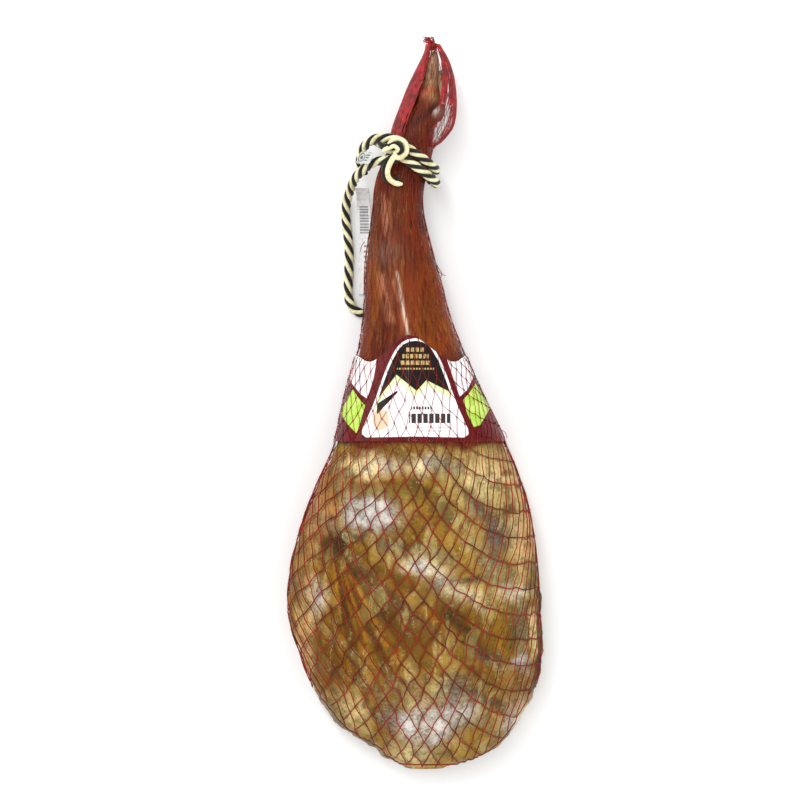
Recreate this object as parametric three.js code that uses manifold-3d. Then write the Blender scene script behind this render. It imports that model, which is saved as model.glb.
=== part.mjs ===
// A cured pork shoulder with its foot, tied in a string net, lying on its flat side.
// Millimetres. +Y runs up the leg to the foot, +X to the right, +Z up from the resting face.
// The ham, its printed paper collar and the net are rings of one family of cross-sections,
// each a little larger than the one it goes over.

import * as THREE from 'three';
import Module from 'manifold-3d';
import { mergeVertices } from 'three/addons/utils/BufferGeometryUtils.js';

const wasm = await Module();
wasm.setup();

// ---- Driving dimensions ----
const hamLength = 668;        // lower end to the tip of the hoof
const shoulderWidth = 236;    // widest part of the ham
const shoulderDepth = 94;     // flat side to the crown of the fat
const netTopRise = 13;        // knotted tuft of the net above the hoof
const netWall = 1.0;          // the knitted string, as a skin
const collarPaper = 0.5;      // thickness of the printed collar
const hamClearance = 0.5;     // ham to collar
const collarClearance = 0.5;  // collar to net
const ropeDiameter = 8.8;
const ropeClearance = 0.9;    // rope winding to net
const collarFromEnd = 305;    // lower end of the ham to the collar's lower edge
const collarHeight = 80;      // collar's side panels, along the leg
const collarArchRise = 18;    // arched middle panel above the side panels
const collarDipDepth = 7;     // hollow on each side of the arch
const windingWidth = 25;      // two and a half turns of rope side by side
const knotWidth = 38;         // knot on the winding, along the leg
const knotDepth = 21;         // knot on the winding, out from the leg
const windingSlope = 0.5;     // fall of the winding across the leg
const knotDrop = 9;           // knot's middle below the winding's
const sealTagSize = [19, 12, 1.4];
const sealTagClearance = 2.2; // seal tag above the knot
const stripTagWidth = 13;
const stripTagThickness = 0.6;

// ---- Fineness ----
const ringPoints = 36;
const hamRows = 40;
const collarRows = 7;
const ropeSides = 8;
const ropeSteps = 60;
const stripSteps = 24;
const rowEasing = 0.55;         // how much closer the rows are at the two ends

// ---- Places that follow from the sizes ----
const lowerEnd = -(hamLength + netTopRise) / 2;
const netInside = hamClearance + collarPaper + collarClearance;
const netOutside = netInside + netWall;
const restLift = netOutside;    // the ham lies on the net's thickness
const netHemAt = 0.02;          // share of the ham's length left bare below the hem
const netInnerEnd = 1.002;      // the net's inside closes just above the hoof
const tuftTop = 1 + netTopRise / hamLength;
const windingAt = 0.845;        // the narrow of the leg, as a share of the length

// Outline of the ham: share of the length, then left and right in percent of the width,
// top and underside in percent of the depth.
const hamOutline = [
  [0.000, -3.0, 11.0, 40, 18],
  [0.016, -11.0, 25.5, 57, 9],
  [0.031, -15.0, 32.0, 68, 4],
  [0.058, -27.0, 38.6, 80, 0],
  [0.114, -39.4, 47.0, 92, 0],
  [0.156, -44.8, 49.4, 97, 0],
  [0.212, -49.6, 49.5, 100, 0],
  [0.281, -48.3, 48.1, 101, 0],
  [0.365, -41.6, 44.9, 97, 0],
  [0.448, -31.4, 36.2, 90, 0],
  [0.532, -25.4, 24.4, 81, 0],
  [0.574, -21.9, 19.7, 77, 1],
  [0.630, -19.5, 13.4, 72, 9],
  [0.657, -19.2, 11.9, 70, 13],
  [0.699, -18.9, 8.3, 69, 17],
  [0.741, -17.2, 5.1, 68, 19],
  [0.783, -15.6, 2.8, 67, 20],
  [0.811, -15.4, 3.4, 66, 20],
  [0.840, -12.7, 5.3, 63, 21],
  [0.861, -9.6, 7.4, 61, 22],
  [0.882, -7.4, 7.4, 59, 23],
  [0.905, -4.6, 9.2, 58, 24],
  [0.925, -1.7, 10.4, 56, 25],
  [0.950, 2.5, 9.6, 53, 27],
  [0.968, 4.2, 9.0, 50, 31],
];
const hoofRootAt = 0.968;
const hoofRootRise = 3;         // rounding of the leg's end inside the hoof

// Outline of the net where it stands off the foot, in the same shares and percents.
const tentOutline = [
  [0.862, -9.0, 7.0, 60, 23],
  [0.880, -9.0, 12.4, 62, 21],
  [0.894, -7.8, 15.0, 63, 20],
  [0.922, -4.8, 15.9, 63, 20],
  [0.950, -1.7, 15.4, 61, 22],
  [0.978, 2.2, 13.7, 57, 26],
  [0.992, 4.2, 12.1, 53, 31],
  [1.004, 5.4, 10.0, 49, 36],
];
const tuftOutline = [
  [1.008, 5.6, 9.0, 47, 38],
  [1.013, 3.9, 8.3, 48, 37],
];
// Rings of the net above the leg's end: round the hoof, and through its knotted tuft.
const hoofRings = [0.976, 0.984, 0.993, netInnerEnd];
const tuftRings = [1.007, 1.0115, tuftTop - 0.003];

// Hoof: where each claw sits (percent of the width, share of the length, percent of the
// depth), its half width, half length and half height, and its lean.
const claws = [
  { centre: [6.8, 0.970, 41], size: [7.0, 20, 9.0], lean: -0.16 },
  { centre: [10.2, 0.951, 35], size: [6.4, 16, 8.5], lean: -0.1 },
  { centre: [9.5, 0.913, 50.5], size: [5.5, 9, 6.5], lean: -0.5 },
  { centre: [7.0, 0.904, 30], size: [5.5, 8.5, 6.0], lean: -0.35 },
];

// Free loop of the rope: from the underside of the winding, along the surface that the ham
// lies on, round under the leg and back up to the knot.
const freeRopeRoute = [
  [-31, 216.5, 21], [-31.5, 207, 18], [-31, 196, 14], [-30, 184, 9.5], [-28.5, 171, 6.2],
  [-27, 156, 4.6], [-25, 140, 4.4], [-24, 124, 4.4], [-24.5, 108, 4.4], [-28, 94, 4.4],
  [-35, 85.5, 4.4], [-44, 83.6, 4.4], [-53, 87.5, 4.4], [-59.5, 96.5, 4.4], [-62, 109, 4.4],
  [-61.6, 125, 4.4], [-61.2, 141, 4.4], [-62.2, 156, 4.4], [-63.8, 170, 5.2], [-64, 182, 8.5],
  [-62.5, 192, 15], [-60, 198, 22.5], [-58, 203, 29],
];
const stripTagRoute = [
  [-49, 202, 16], [-48, 195, 9], [-47.5, 186, 3.4], [-47, 176, 1.0], [-46.6, 150, 0.7],
  [-46.4, 125, 0.7], [-46.2, 102, 0.7],
];

const materials = {
  rind: material('#a8652c', 0.5),
  netString: material('#8f1f1b', 0.7),
  collar: material('#6d1428', 0.35),
  rope: material('#3a362c', 0.85),
  tagPlastic: material('#b9bbb8', 0.45),
  tagPaper: material('#e6e4de', 0.6),
};

function material(color, roughness) {
  return new THREE.MeshStandardMaterial({ color, roughness, metalness: 0 });
}

// A smooth curve through rows of [share of length, left, right, top, underside].
function smoothOutline(rows) {
  const shares = Float64Array.from(rows, (row) => row[0]);
  const sizes = Float64Array.from(rows.flatMap((row) => row.slice(1)));
  const curve = new THREE.CubicInterpolant(shares, sizes, 4);
  return (share) => {
    const [left, right, top, under] = curve.evaluate(share);
    return {
      left: left * shoulderWidth / 100,
      right: right * shoulderWidth / 100,
      top: restLift + top * shoulderDepth / 100,
      under: restLift + Math.max(0, under) * shoulderDepth / 100,
    };
  };
}

const hamAt = smoothOutline(hamOutline);
const tentAt = smoothOutline([...tentOutline, ...tuftOutline]);

// The ham grown evenly by some millimetres.
function grownHam(share, grow) {
  const { left, right, top, under } = hamAt(Math.min(share, hoofRootAt));
  return { left: left - grow, right: right + grow, top: top + grow, under: under - grow };
}

// The net follows the ham, and stands off the foot where it is drawn up to its knot.
function netSection(share, grow) {
  const ham = grownHam(share, grow);
  if (share < tentOutline[0][0]) return ham;
  const tent = tentAt(share);
  const skin = grow - netInside;
  const stretched = {
    left: tent.left - skin, right: tent.right + skin,
    top: tent.top + skin, under: tent.under - skin,
  };
  if (share > hoofRootAt) return stretched;
  return {
    left: Math.min(ham.left, stretched.left), right: Math.max(ham.right, stretched.right),
    top: Math.max(ham.top, stretched.top), under: Math.min(ham.under, stretched.under),
  };
}

function along(share) {
  return lowerEnd + share * hamLength;
}

function shareAt(y) {
  return (y - lowerEnd) / hamLength;
}

// Cross-section: how square its corners are, and how high its widest line is, as a share of
// its depth. The shoulder is crowned and flat below; the leg is round.
const crownFullness = 2.05;
const undersideFullness = 2.8;
const legFullness = 2.2;
const shoulderWaist = 0.38;
const legWaist = 0.5;
const legFromShare = 0.42;
const legToShare = 0.68;
const restFlattening = 1.07;    // the underside is cut off level by this much

// Collar's upper edge: half widths of the arch and of the hollow beside it, in radians round
// the leg, and where that hollow is.
const archSpread = 0.52;
const hollowSpread = 0.3;
const hollowAngle = 0.95;

// The knot's middle and half width, and the seal tag's place on it, in radians round the leg.
const knotAngle = 2.55;
const knotSpread = 0.55;
const sealTagAngle = 2.5;
const sealTagStep = 0.1;        // how far off the surface is looked at to find its slope

// One point on a cross-section: crowned above its widest line, flattened below it.
function sectionPoint(section, share, angle) {
  const c = Math.cos(angle);
  const s = Math.sin(angle);
  const legness = THREE.MathUtils.smoothstep(share, legFromShare, legToShare);
  const shoulderFullness = s < 0 ? undersideFullness : crownFullness;
  const power = 2 / THREE.MathUtils.lerp(shoulderFullness, legFullness, legness);
  const waistShare = THREE.MathUtils.lerp(shoulderWaist, legWaist, legness);
  const waist = THREE.MathUtils.lerp(section.under, section.top, waistShare);
  const middle = (section.left + section.right) / 2;
  const half = (section.right - section.left) / 2;
  const x = middle + half * Math.sign(c) * Math.abs(c) ** power;
  const rise = Math.abs(s) ** power;
  const z = s > 0
    ? waist + (section.top - waist) * rise
    : Math.max(section.under, waist - (waist - section.under) * restFlattening * rise);
  return new THREE.Vector3(x, along(share), z);
}

function netPoint(share, angle, grow) {
  return sectionPoint(netSection(share, grow), share, angle);
}

function ringAngles() {
  return Array.from({ length: ringPoints }, (_, i) => 2 * Math.PI * i / ringPoints);
}

function middleOf(points) {
  const sum = points.reduce((total, point) => total.add(point), new THREE.Vector3());
  return sum.divideScalar(points.length);
}

// Skin through a list of rings, closed at each end by a fan to a middle point.
function skin(rings, startPoint, endPoint) {
  const count = rings[0].length;
  const points = [...rings.flat(), startPoint, endPoint];
  const start = points.length - 2;
  const end = points.length - 1;
  const faces = [];
  for (let i = 0; i < count; i += 1) {
    const next = (i + 1) % count;
    faces.push(start, next, i);
    for (let row = 0; row + 1 < rings.length; row += 1) {
      const a = row * count;
      const b = a + count;
      faces.push(a + i, a + next, b + i, a + next, b + next, b + i);
    }
    const last = (rings.length - 1) * count;
    faces.push(last + i, last + next, end);
  }
  return indexedGeometry(points, faces);
}

// Skin through rings whose last one joins the first, like a tyre.
function tyre(rings) {
  const count = rings[0].length;
  const faces = [];
  rings.forEach((_, row) => {
    const a = row * count;
    const b = ((row + 1) % rings.length) * count;
    for (let i = 0; i < count; i += 1) {
      const next = (i + 1) % count;
      faces.push(a + i, a + next, b + i, a + next, b + next, b + i);
    }
  });
  return indexedGeometry(rings.flat(), faces);
}

function indexedGeometry(points, faces) {
  const geometry = new THREE.BufferGeometry();
  const places = points.flatMap((point) => point.toArray());
  geometry.setAttribute('position', new THREE.Float32BufferAttribute(places, 3));
  geometry.setIndex(faces);
  return geometry;
}

// The same skin with its triangles wound the other way, so that it faces outward.
function turnedOut(geometry) {
  const index = geometry.index.array;
  for (let i = 0; i < index.length; i += 3) {
    [index[i + 1], index[i + 2]] = [index[i + 2], index[i + 1]];
  }
  return geometry;
}

function toSolid(geometry) {
  const bare = geometry.clone();
  bare.deleteAttribute('normal');
  bare.deleteAttribute('uv');
  const merged = mergeVertices(bare, 1e-4);
  return new wasm.Manifold(new wasm.Mesh({
    numProp: 3,
    vertProperties: Float32Array.from(merged.attributes.position.array),
    triVerts: Uint32Array.from(merged.index.array),
  }));
}

function toGeometry(solid) {
  const mesh = solid.getMesh();
  const geometry = new THREE.BufferGeometry();
  geometry.setAttribute('position', new THREE.BufferAttribute(mesh.vertProperties, 3));
  geometry.setIndex(new THREE.BufferAttribute(mesh.triVerts, 1));
  return geometry;
}

// Rows are closer together at the two ends, where the outline turns in quickly.
function rowShares(first, last, rows) {
  return Array.from({ length: rows }, (_, i) => {
    const t = i / (rows - 1);
    const eased = (1 - Math.cos(Math.PI * t)) / 2;
    return first + (last - first) * THREE.MathUtils.lerp(t, eased, rowEasing);
  });
}

const netShares = rowShares(netHemAt, hoofRootAt, hamRows);
const hamShares = [0, netHemAt * 0.35, netHemAt * 0.7, ...netShares];

function makeHam() {
  const rings = hamShares.map((share) => ringAngles().map(
    (angle) => sectionPoint(grownHam(share, 0), share, angle)));
  const start = middleOf(rings[0]);
  const end = middleOf(rings.at(-1));
  end.y += hoofRootRise;
  const leg = toSolid(turnedOut(skin(rings, start, end)));
  const hoof = claws.map(makeClaw);
  return toGeometry(hoof.reduce((joined, claw) => joined.add(claw), leg));
}

function makeClaw({ centre, size, lean }) {
  const [across, share, high] = centre;
  const claw = new THREE.SphereGeometry(1, 12, 10);
  claw.scale(...size);
  claw.rotateZ(lean);
  claw.translate(across * shoulderWidth / 100, along(share), restLift + high * shoulderDepth / 100);
  return toSolid(claw);
}

function makeNet() {
  const shares = [...netShares, ...hoofRings];
  const ringOf = (grow) => (share) => ringAngles().map((angle) => netPoint(share, angle, grow));
  const inner = shares.map(ringOf(netInside));
  const outer = [...shares, ...tuftRings].map(ringOf(netOutside));
  const innerEnd = middleOf(inner.at(-1));
  const outerEnd = middleOf(outer.at(-1));
  outerEnd.y = along(tuftTop);
  // From the knot down the inside to the hem, over the rim and up the outside.
  return turnedOut(skin([...inner.reverse(), ...outer], innerEnd, outerEnd));
}

// A rounded hump, 1 at its middle and nothing a few spreads away.
function hump(distance, spread) {
  return Math.exp(-((distance / spread) ** 2));
}

// Upper edge of the collar: an arch in front, a hollow on each side of it, level behind.
function collarTop(angle) {
  const turn = THREE.MathUtils.euclideanModulo(angle + Math.PI / 2, 2 * Math.PI);
  const fromFront = Math.abs(turn - Math.PI);
  return collarHeight + collarArchRise * hump(fromFront, archSpread)
    - collarDipDepth * hump(fromFront - hollowAngle, hollowSpread);
}

function makeCollar() {
  const start = lowerEnd + collarFromEnd;
  const ringOf = (grow) => (t) => ringAngles().map((angle) => {
    const share = shareAt(start + t * collarTop(angle));
    return sectionPoint(grownHam(share, grow), share, angle);
  });
  const steps = Array.from({ length: collarRows }, (_, i) => i / (collarRows - 1));
  const inner = steps.map(ringOf(hamClearance));
  const outer = steps.map(ringOf(hamClearance + collarPaper));
  return turnedOut(tyre([...inner.reverse(), ...outer]));
}

// How much of a knot there is at this angle round the leg, from 0 to 1.
function knotShare(angle) {
  return hump(angle - knotAngle, knotSpread);
}

// The winding follows the net round the leg, sloping down to the right, and swells into the
// knot at the left. Its section is a flat band with round shoulders.
const windingSection = [
  [-1, 0], [-0.5, 0], [0, 0], [0.5, 0], [1, 0], [1, 0.5], [0.62, 1], [-0.62, 1], [-1, 0.5],
];

function windingPoint(angle, [side, height]) {
  const base = netPoint(windingAt, angle, netOutside);
  const centre = netSection(windingAt, netOutside);
  const middle = (centre.left + centre.right) / 2;
  const width = THREE.MathUtils.lerp(windingWidth, knotWidth, knotShare(angle));
  const depth = THREE.MathUtils.lerp(ropeDiameter, knotDepth, knotShare(angle));
  const fall = windingSlope * (base.x - middle) + knotDrop * knotShare(angle);
  const y = base.y - fall + side * width / 2;
  return netPoint(shareAt(y), angle, netOutside + ropeClearance + height * depth);
}

function makeWinding() {
  const ringOf = (place) => ringAngles().map((angle) => windingPoint(angle, place));
  return tyre(windingSection.map(ringOf));
}

function routeCurve(route) {
  return new THREE.CatmullRomCurve3(route.map((point) => new THREE.Vector3(...point)));
}

function makeFreeRope() {
  const section = new THREE.Shape();
  for (let i = 0; i < ropeSides; i += 1) {
    const angle = 2 * Math.PI * (i + 0.5) / ropeSides;
    const x = Math.cos(angle) * ropeDiameter / 2;
    const y = Math.sin(angle) * ropeDiameter / 2;
    if (i === 0) section.moveTo(x, y);
    else section.lineTo(x, y);
  }
  const extrudePath = routeCurve(freeRopeRoute);
  return new THREE.ExtrudeGeometry(section, { steps: ropeSteps, extrudePath });
}

// A flat plate on top of the knot, square to the knot's surface under it.
function makeSealTag() {
  const at = (turn, side) => windingPoint(sealTagAngle + turn, [side, 1]);
  const foot = at(0, 0);
  const round = at(-sealTagStep, 0).sub(at(sealTagStep, 0));
  const upLeg = at(0, sealTagStep).sub(at(0, -sealTagStep));
  const outward = round.clone().cross(upLeg).normalize();
  const side = round.normalize();
  const turn = new THREE.Matrix4().makeBasis(side, outward.clone().cross(side), outward);
  const plate = new THREE.BoxGeometry(...sealTagSize);
  plate.applyMatrix4(turn);
  const place = foot.addScaledVector(outward, sealTagClearance);
  plate.translate(place.x, place.y, place.z);
  return plate;
}

// A paper strip hanging from the knot and lying beside the leg.
function makeStripTag() {
  const centres = routeCurve(stripTagRoute).getSpacedPoints(stripSteps);
  const side = new THREE.Vector3(1, 0, 0);
  const rings = centres.map((centre, i) => {
    const before = centres[Math.max(0, i - 1)];
    const after = centres[Math.min(stripSteps, i + 1)];
    const up = side.clone().cross(after.clone().sub(before)).normalize();
    return [[-1, -1], [1, -1], [1, 1], [-1, 1]].map(([across, high]) => centre.clone()
      .addScaledVector(side, across * stripTagWidth / 2)
      .addScaledVector(up, high * stripTagThickness / 2));
  });
  return turnedOut(skin(rings, middleOf(rings[0]), middleOf(rings.at(-1))));
}

function named(name, geometry, finish) {
  const mesh = new THREE.Mesh(geometry, finish);
  mesh.name = name;
  return mesh;
}

const group = new THREE.Group();
group.add(
  named('ham', makeHam(), materials.rind),
  named('collar', makeCollar(), materials.collar),
  named('net', makeNet(), materials.netString),
  named('rope_winding', makeWinding(), materials.rope),
  named('rope_loop', makeFreeRope(), materials.rope),
  named('seal_tag', makeSealTag(), materials.tagPlastic),
  named('strip_tag', makeStripTag(), materials.tagPaper),
);

export default group;
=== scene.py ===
import math

import bmesh
import bpy
import numpy as np
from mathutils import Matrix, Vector


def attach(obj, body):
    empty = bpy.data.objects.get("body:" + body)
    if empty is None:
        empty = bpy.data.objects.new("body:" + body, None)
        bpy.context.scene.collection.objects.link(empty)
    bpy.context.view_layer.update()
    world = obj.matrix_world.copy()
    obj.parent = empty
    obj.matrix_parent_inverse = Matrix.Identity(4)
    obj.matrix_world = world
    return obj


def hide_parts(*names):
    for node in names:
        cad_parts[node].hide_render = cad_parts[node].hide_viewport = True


# A cured pork shoulder lying on its flat side: ham, paper collar, string net, rope and tags.
# Shapes are worked out in millimetres and made in metres. +Y runs up the leg to the foot.
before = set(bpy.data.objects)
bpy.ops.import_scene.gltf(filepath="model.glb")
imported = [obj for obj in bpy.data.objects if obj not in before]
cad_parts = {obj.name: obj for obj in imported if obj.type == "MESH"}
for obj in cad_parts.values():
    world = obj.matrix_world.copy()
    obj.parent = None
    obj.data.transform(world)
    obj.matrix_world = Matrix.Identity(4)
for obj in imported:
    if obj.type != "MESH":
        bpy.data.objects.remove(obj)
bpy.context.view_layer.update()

MM = 0.001
NET_LOW_Y = -339.0        # lowest place that the net could reach
MOUTH_Y = -264.0          # below this the strings run straight down to the net's open mouth
MOUTH_INSET = 2.5         # how far inside the ham's lower outline the mouth lies
COLLAR_Y = -35.5          # lower edge of the paper collar
LEG_END_Y = 306.0         # end of the leg, inside the hoof
TOP_Y = 333.0             # the net is drawn together here
HALF_SPAN = 125.0         # half the width that is looked up across the ham
STRING_LOW = 0.6          # lowest middle of a string
TAU = 2 * math.pi


# ---------------------------------------------------------------- helpers

def smoothstep(low, high, value):
    t = np.clip((value - low) / (high - low), 0, 1)
    return t * t * (3 - 2 * t)


def mix(a, b, t):
    """Part of the way from one colour to another."""
    return a + (b - a) * np.asarray(t)[..., None]


def hump(distance):
    return np.exp(-distance * distance)


def linear(red, green, blue):
    """A colour as a paint chart gives it, 0 to 255, turned into light."""
    share = np.array([red, green, blue]) / 255
    return np.where(share <= 0.04045, share / 12.92, ((share + 0.055) / 1.055) ** 2.4)


def noise(points, size, seed, octaves=1):
    """Smooth noise from -1 to 1 at each point; size is its coarsest wave, per axis or one."""
    total, weight, spread = 0.0, 0.0, 1.0
    at = np.asarray(points, float) / np.asarray(size, float)
    for octave in range(octaves):
        total = total + spread * one_noise(at * 2 ** octave, seed + 7 * octave)
        weight += spread
        spread *= 0.5
    return total / weight


def one_noise(at, seed):
    cell = np.floor(at).astype(np.int64)
    part = at - cell
    ease = part * part * (3 - 2 * part)
    total = np.zeros(at.shape[:-1])
    for corner in np.ndindex(2, 2, 2):
        spot = cell + np.array(corner)
        mixed = (spot[..., 0] * 73856093) ^ (spot[..., 1] * 19349663) ^ (spot[..., 2] * 83492791)
        mixed = (mixed ^ (seed * 40503 + 977)) & 0x7FFFFFFF
        mixed = (mixed ^ (mixed >> 13)) * 1274126177 & 0x7FFFFFFF
        value = ((mixed ^ (mixed >> 16)) & 0xFFFF) / 32767.5 - 1
        share = np.where(np.array(corner) == 1, ease, 1 - ease)
        total += value * share[..., 0] * share[..., 1] * share[..., 2]
    return total


def softened(grid, along, around):
    """A grid blurred along its rows, and around its columns, which join end to end."""
    for axis, spread in ((0, along), (1, around)):
        if spread <= 0:
            continue
        reach = int(3 * spread) + 1
        weights = hump(np.arange(-reach, reach + 1) / (spread * math.sqrt(2)))
        weights /= weights.sum()
        pad = [(reach, reach) if a == axis else (0, 0) for a in (0, 1)]
        wide = np.pad(grid, pad, mode="edge" if axis == 0 else "wrap")
        grid = sum(w * np.take(wide, np.arange(k, k + grid.shape[axis]), axis=axis)
                   for k, w in enumerate(weights))
    return grid


def tallest(grid, reach):
    """The highest value within reach of each cell of a grid."""
    high = grid
    for k in range(1, reach + 1):
        high = np.maximum(high, np.maximum(np.roll(grid, k, 1), np.roll(grid, -k, 1)))
    high_around = high
    for k in range(1, reach + 1):
        up = np.concatenate([high_around[k:], np.repeat(high_around[-1:], k, 0)])
        down = np.concatenate([np.repeat(high_around[:1], k, 0), high_around[:-k]])
        high = np.maximum(high, np.maximum(up, down))
    return high


def shown(name, data):
    """A new object in the scene, from a mesh, a camera or a light."""
    made = bpy.data.objects.new(name, data)
    bpy.context.scene.collection.objects.link(made)
    return made


def mesh_object(name, points, faces=(), edges=()):
    """A new piece from points in millimetres."""
    mesh = bpy.data.meshes.new(name)
    mesh.from_pydata((np.asarray(points) * MM).tolist(), list(edges), list(faces))
    mesh.validate()
    mesh.update()
    return shown(name, mesh)


def smooth(piece):
    piece.data.polygons.foreach_set("use_smooth", [True] * len(piece.data.polygons))
    piece.data.update()


def paint(piece, name, values):
    """Writes a number or a colour on each corner point of a piece."""
    values = np.asarray(values, float)
    if values.ndim == 1:
        layer = piece.data.attributes.new(name, "FLOAT", "POINT")
        layer.data.foreach_set("value", values)
    else:
        layer = piece.data.attributes.new(name, "FLOAT_COLOR", "POINT")
        layer.data.foreach_set("color", np.column_stack([values, np.ones(len(values))]).ravel())


def ring_faces(rows, columns, start=0):
    """Quads of a tube of rings, counted so that they face out when rings turn clockwise."""
    k = np.arange(rows - 1)[:, None] * columns + start
    i = np.arange(columns)
    n = (i + 1) % columns
    quads = np.stack([k + i, k + n, k + columns + n, k + columns + i], -1)
    return quads.reshape(-1, 4)


def capped_tube_faces(rows, columns, start=0):
    """The quads of a tube of rings and one face over each end."""
    ring = np.arange(columns)
    return [*ring_faces(rows, columns, start).tolist(), (start + ring).tolist(),
            (start + (rows - 1) * columns + ring[::-1]).tolist()]


def face_outward(piece):
    """Turns the faces of every closed shell of a piece outward."""
    shell = bmesh.new()
    shell.from_mesh(piece.data)
    bmesh.ops.recalc_face_normals(shell, faces=shell.faces)
    shell.to_mesh(piece.data)
    shell.free()


def finished(piece, node_names, material):
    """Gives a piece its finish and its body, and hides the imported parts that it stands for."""
    if not piece.data.materials:
        piece.data.materials.append(material)
    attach(piece, "root")
    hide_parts(*node_names)
    return piece


def thicken(piece, thickness, offset):
    """Gives a sheet its wall, in millimetres."""
    wall = piece.modifiers.new("paper", "SOLIDIFY")
    wall.thickness = thickness * MM
    wall.offset = offset


# ---------------------------------------------------------------- material helpers

def new_material(name):
    material = bpy.data.materials.new(name)
    material.use_nodes = True
    tree = material.node_tree
    tree.nodes.clear()
    shader = tree.nodes.new("ShaderNodeBsdfPrincipled")
    output = tree.nodes.new("ShaderNodeOutputMaterial")
    tree.links.new(shader.outputs[0], output.inputs[0])
    return material, tree, shader


def put(socket, value):
    if isinstance(value, bpy.types.NodeSocket):
        socket.id_data.links.new(value, socket)
    elif isinstance(value, (tuple, list, np.ndarray)) and socket.type == "RGBA":
        socket.default_value = (*value, 1) if len(value) == 3 else tuple(value)
    else:
        socket.default_value = value


def add(tree, kind, settings=None, **sockets):
    made = tree.nodes.new(kind)
    for key, value in (settings or {}).items():
        setattr(made, key, value)
    for key, value in sockets.items():
        put(made.inputs[key.replace("_", " ")], value)
    return made


def maths(operation, *values, clamp=False):
    """A sum on some values, in the tree that its first socket belongs to."""
    tree = next(value.id_data for value in values if isinstance(value, bpy.types.NodeSocket))
    made = add(tree, "ShaderNodeMath", {"operation": operation, "use_clamp": clamp})
    for socket, value in zip(made.inputs, values):
        put(socket, value)
    return made.outputs[0]


def times(first, *others):
    """The product of two or more values."""
    for other in others:
        first = maths("MULTIPLY", first, other)
    return first


def plus(*values, clamp=False):
    return maths("ADD", *values, clamp=clamp)


def minus(*values):
    return maths("SUBTRACT", *values)


def size_of(value):
    return maths("ABSOLUTE", value)


def fraction(value):
    return maths("FRACT", value)


def blend(share, first, second):
    """A share of the second colour over the first."""
    made = add(share.id_data, "ShaderNodeMix", {"data_type": "RGBA"}, Factor=share)
    put(made.inputs[6], first)
    put(made.inputs[7], second)
    return made.outputs[2]


def between(value, low, high, out_low=0.0, out_high=1.0, ease="SMOOTHSTEP"):
    made = add(value.id_data, "ShaderNodeMapRange", {"interpolation_type": ease})
    for socket, number in zip(made.inputs, (value, low, high, out_low, out_high)):
        put(socket, number)
    return made.outputs[0]


def evenly(value, low, high, out_low, out_high):
    return between(value, low, high, out_low, out_high, "LINEAR")


def painted(tree, name, kind="Fac"):
    """What was painted on a piece under a name."""
    return add(tree, "ShaderNodeAttribute", {"attribute_name": name}).outputs[kind]


def stretched(tree, scale, turn=(0, 0, 0)):
    """Object coordinates, turned and scaled per metre."""
    coordinates = tree.nodes.new("ShaderNodeTexCoord").outputs["Object"]
    return add(tree, "ShaderNodeMapping", Vector=coordinates, Scale=scale, Rotation=turn).outputs[0]


def grain(where, scale, detail, rough, distortion=0.0):
    return add(where.id_data, "ShaderNodeTexNoise", Vector=where, Scale=scale, Detail=detail,
               Roughness=rough, Distortion=distortion).outputs[0]


def dress(shader, colour, roughness, specular=None):
    put(shader.inputs["Base Color"], colour)
    put(shader.inputs["Roughness"], roughness)
    if specular is not None:
        put(shader.inputs["Specular IOR Level"], specular)


def bumps(shader, *layers):
    """Adds (height, strength, distance in mm) layers of bump under a shader."""
    normal = None
    for height, strength, distance in layers:
        made = add(shader.id_data, "ShaderNodeBump", Height=height, Strength=strength,
                   Distance=distance * MM)
        if normal is not None:
            put(made.inputs["Normal"], normal)
        normal = made.outputs[0]
    put(shader.inputs["Normal"], normal)


# ---------------------------------------------------------------- camera

CAMERA_PLACE = (-0.01325, 0.0028, 2.83)     # metres, straight above the middle of the ham


def add_camera():
    data = bpy.data.cameras.new("camera")
    data.lens = 135
    data.sensor_width = 36
    camera = shown("camera", data)
    camera.location = CAMERA_PLACE
    bpy.context.scene.camera = camera


add_camera()


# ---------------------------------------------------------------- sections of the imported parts

def edge_ends(name):
    """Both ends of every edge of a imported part, in millimetres."""
    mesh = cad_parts[name].data
    points = np.empty(len(mesh.vertices) * 3)
    mesh.vertices.foreach_get("co", points)
    pairs = np.empty(len(mesh.edges) * 2, int)
    mesh.edges.foreach_get("vertices", pairs)
    return (points.reshape(-1, 3) / MM)[pairs.reshape(-1, 2)]


def cut_across(ends, y):
    """Where the edges of a part cross the plane at y: their x and z."""
    a, b = ends[:, 0], ends[:, 1]
    crossing = (a[:, 1] - y) * (b[:, 1] - y) < 0
    a, b = a[crossing], b[crossing]
    t = ((y - a[:, 1]) / (b[:, 1] - a[:, 1]))[:, None]
    return (a + t * (b - a))[:, [0, 2]]


ham_ends = edge_ends("ham")
net_ends = edge_ends("net")

COLUMNS = 300
ROWS = 300
turn_steps = np.arange(COLUMNS) / COLUMNS * TAU
# Columns start at the front middle and go round clockwise, seen from the lower end, and are
# spread more widely over the top and the flat side than over the two edges.
column_angles = math.pi / 2 - turn_steps
column_angles = np.arctan2(0.66 * np.sin(column_angles), np.cos(column_angles))
column_angles = np.unwrap(column_angles)


def row_places(low, high, rows, slow):
    t = np.linspace(0, 1, rows)
    return low + (high - low) * (slow * t + (1 - slow) * (1 - np.cos(t * math.pi / 2)))


lower_end = ham_ends[..., 1].min()
ham_y = row_places(lower_end + 0.15, LEG_END_Y, ROWS, 0.4)


def middle_line(ends, rows_y):
    cuts = [cut_across(ends, y) for y in rows_y]
    return np.array([(cut.min(0) + cut.max(0)) / 2 for cut in cuts])


def centre_at(y):
    """Middle of the ham at a place along it, which the sections are turned about."""
    return np.stack([np.interp(y, centre_y, centre_xz[:, 0]),
                     np.interp(y, centre_y, centre_xz[:, 1])], -1)


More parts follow.
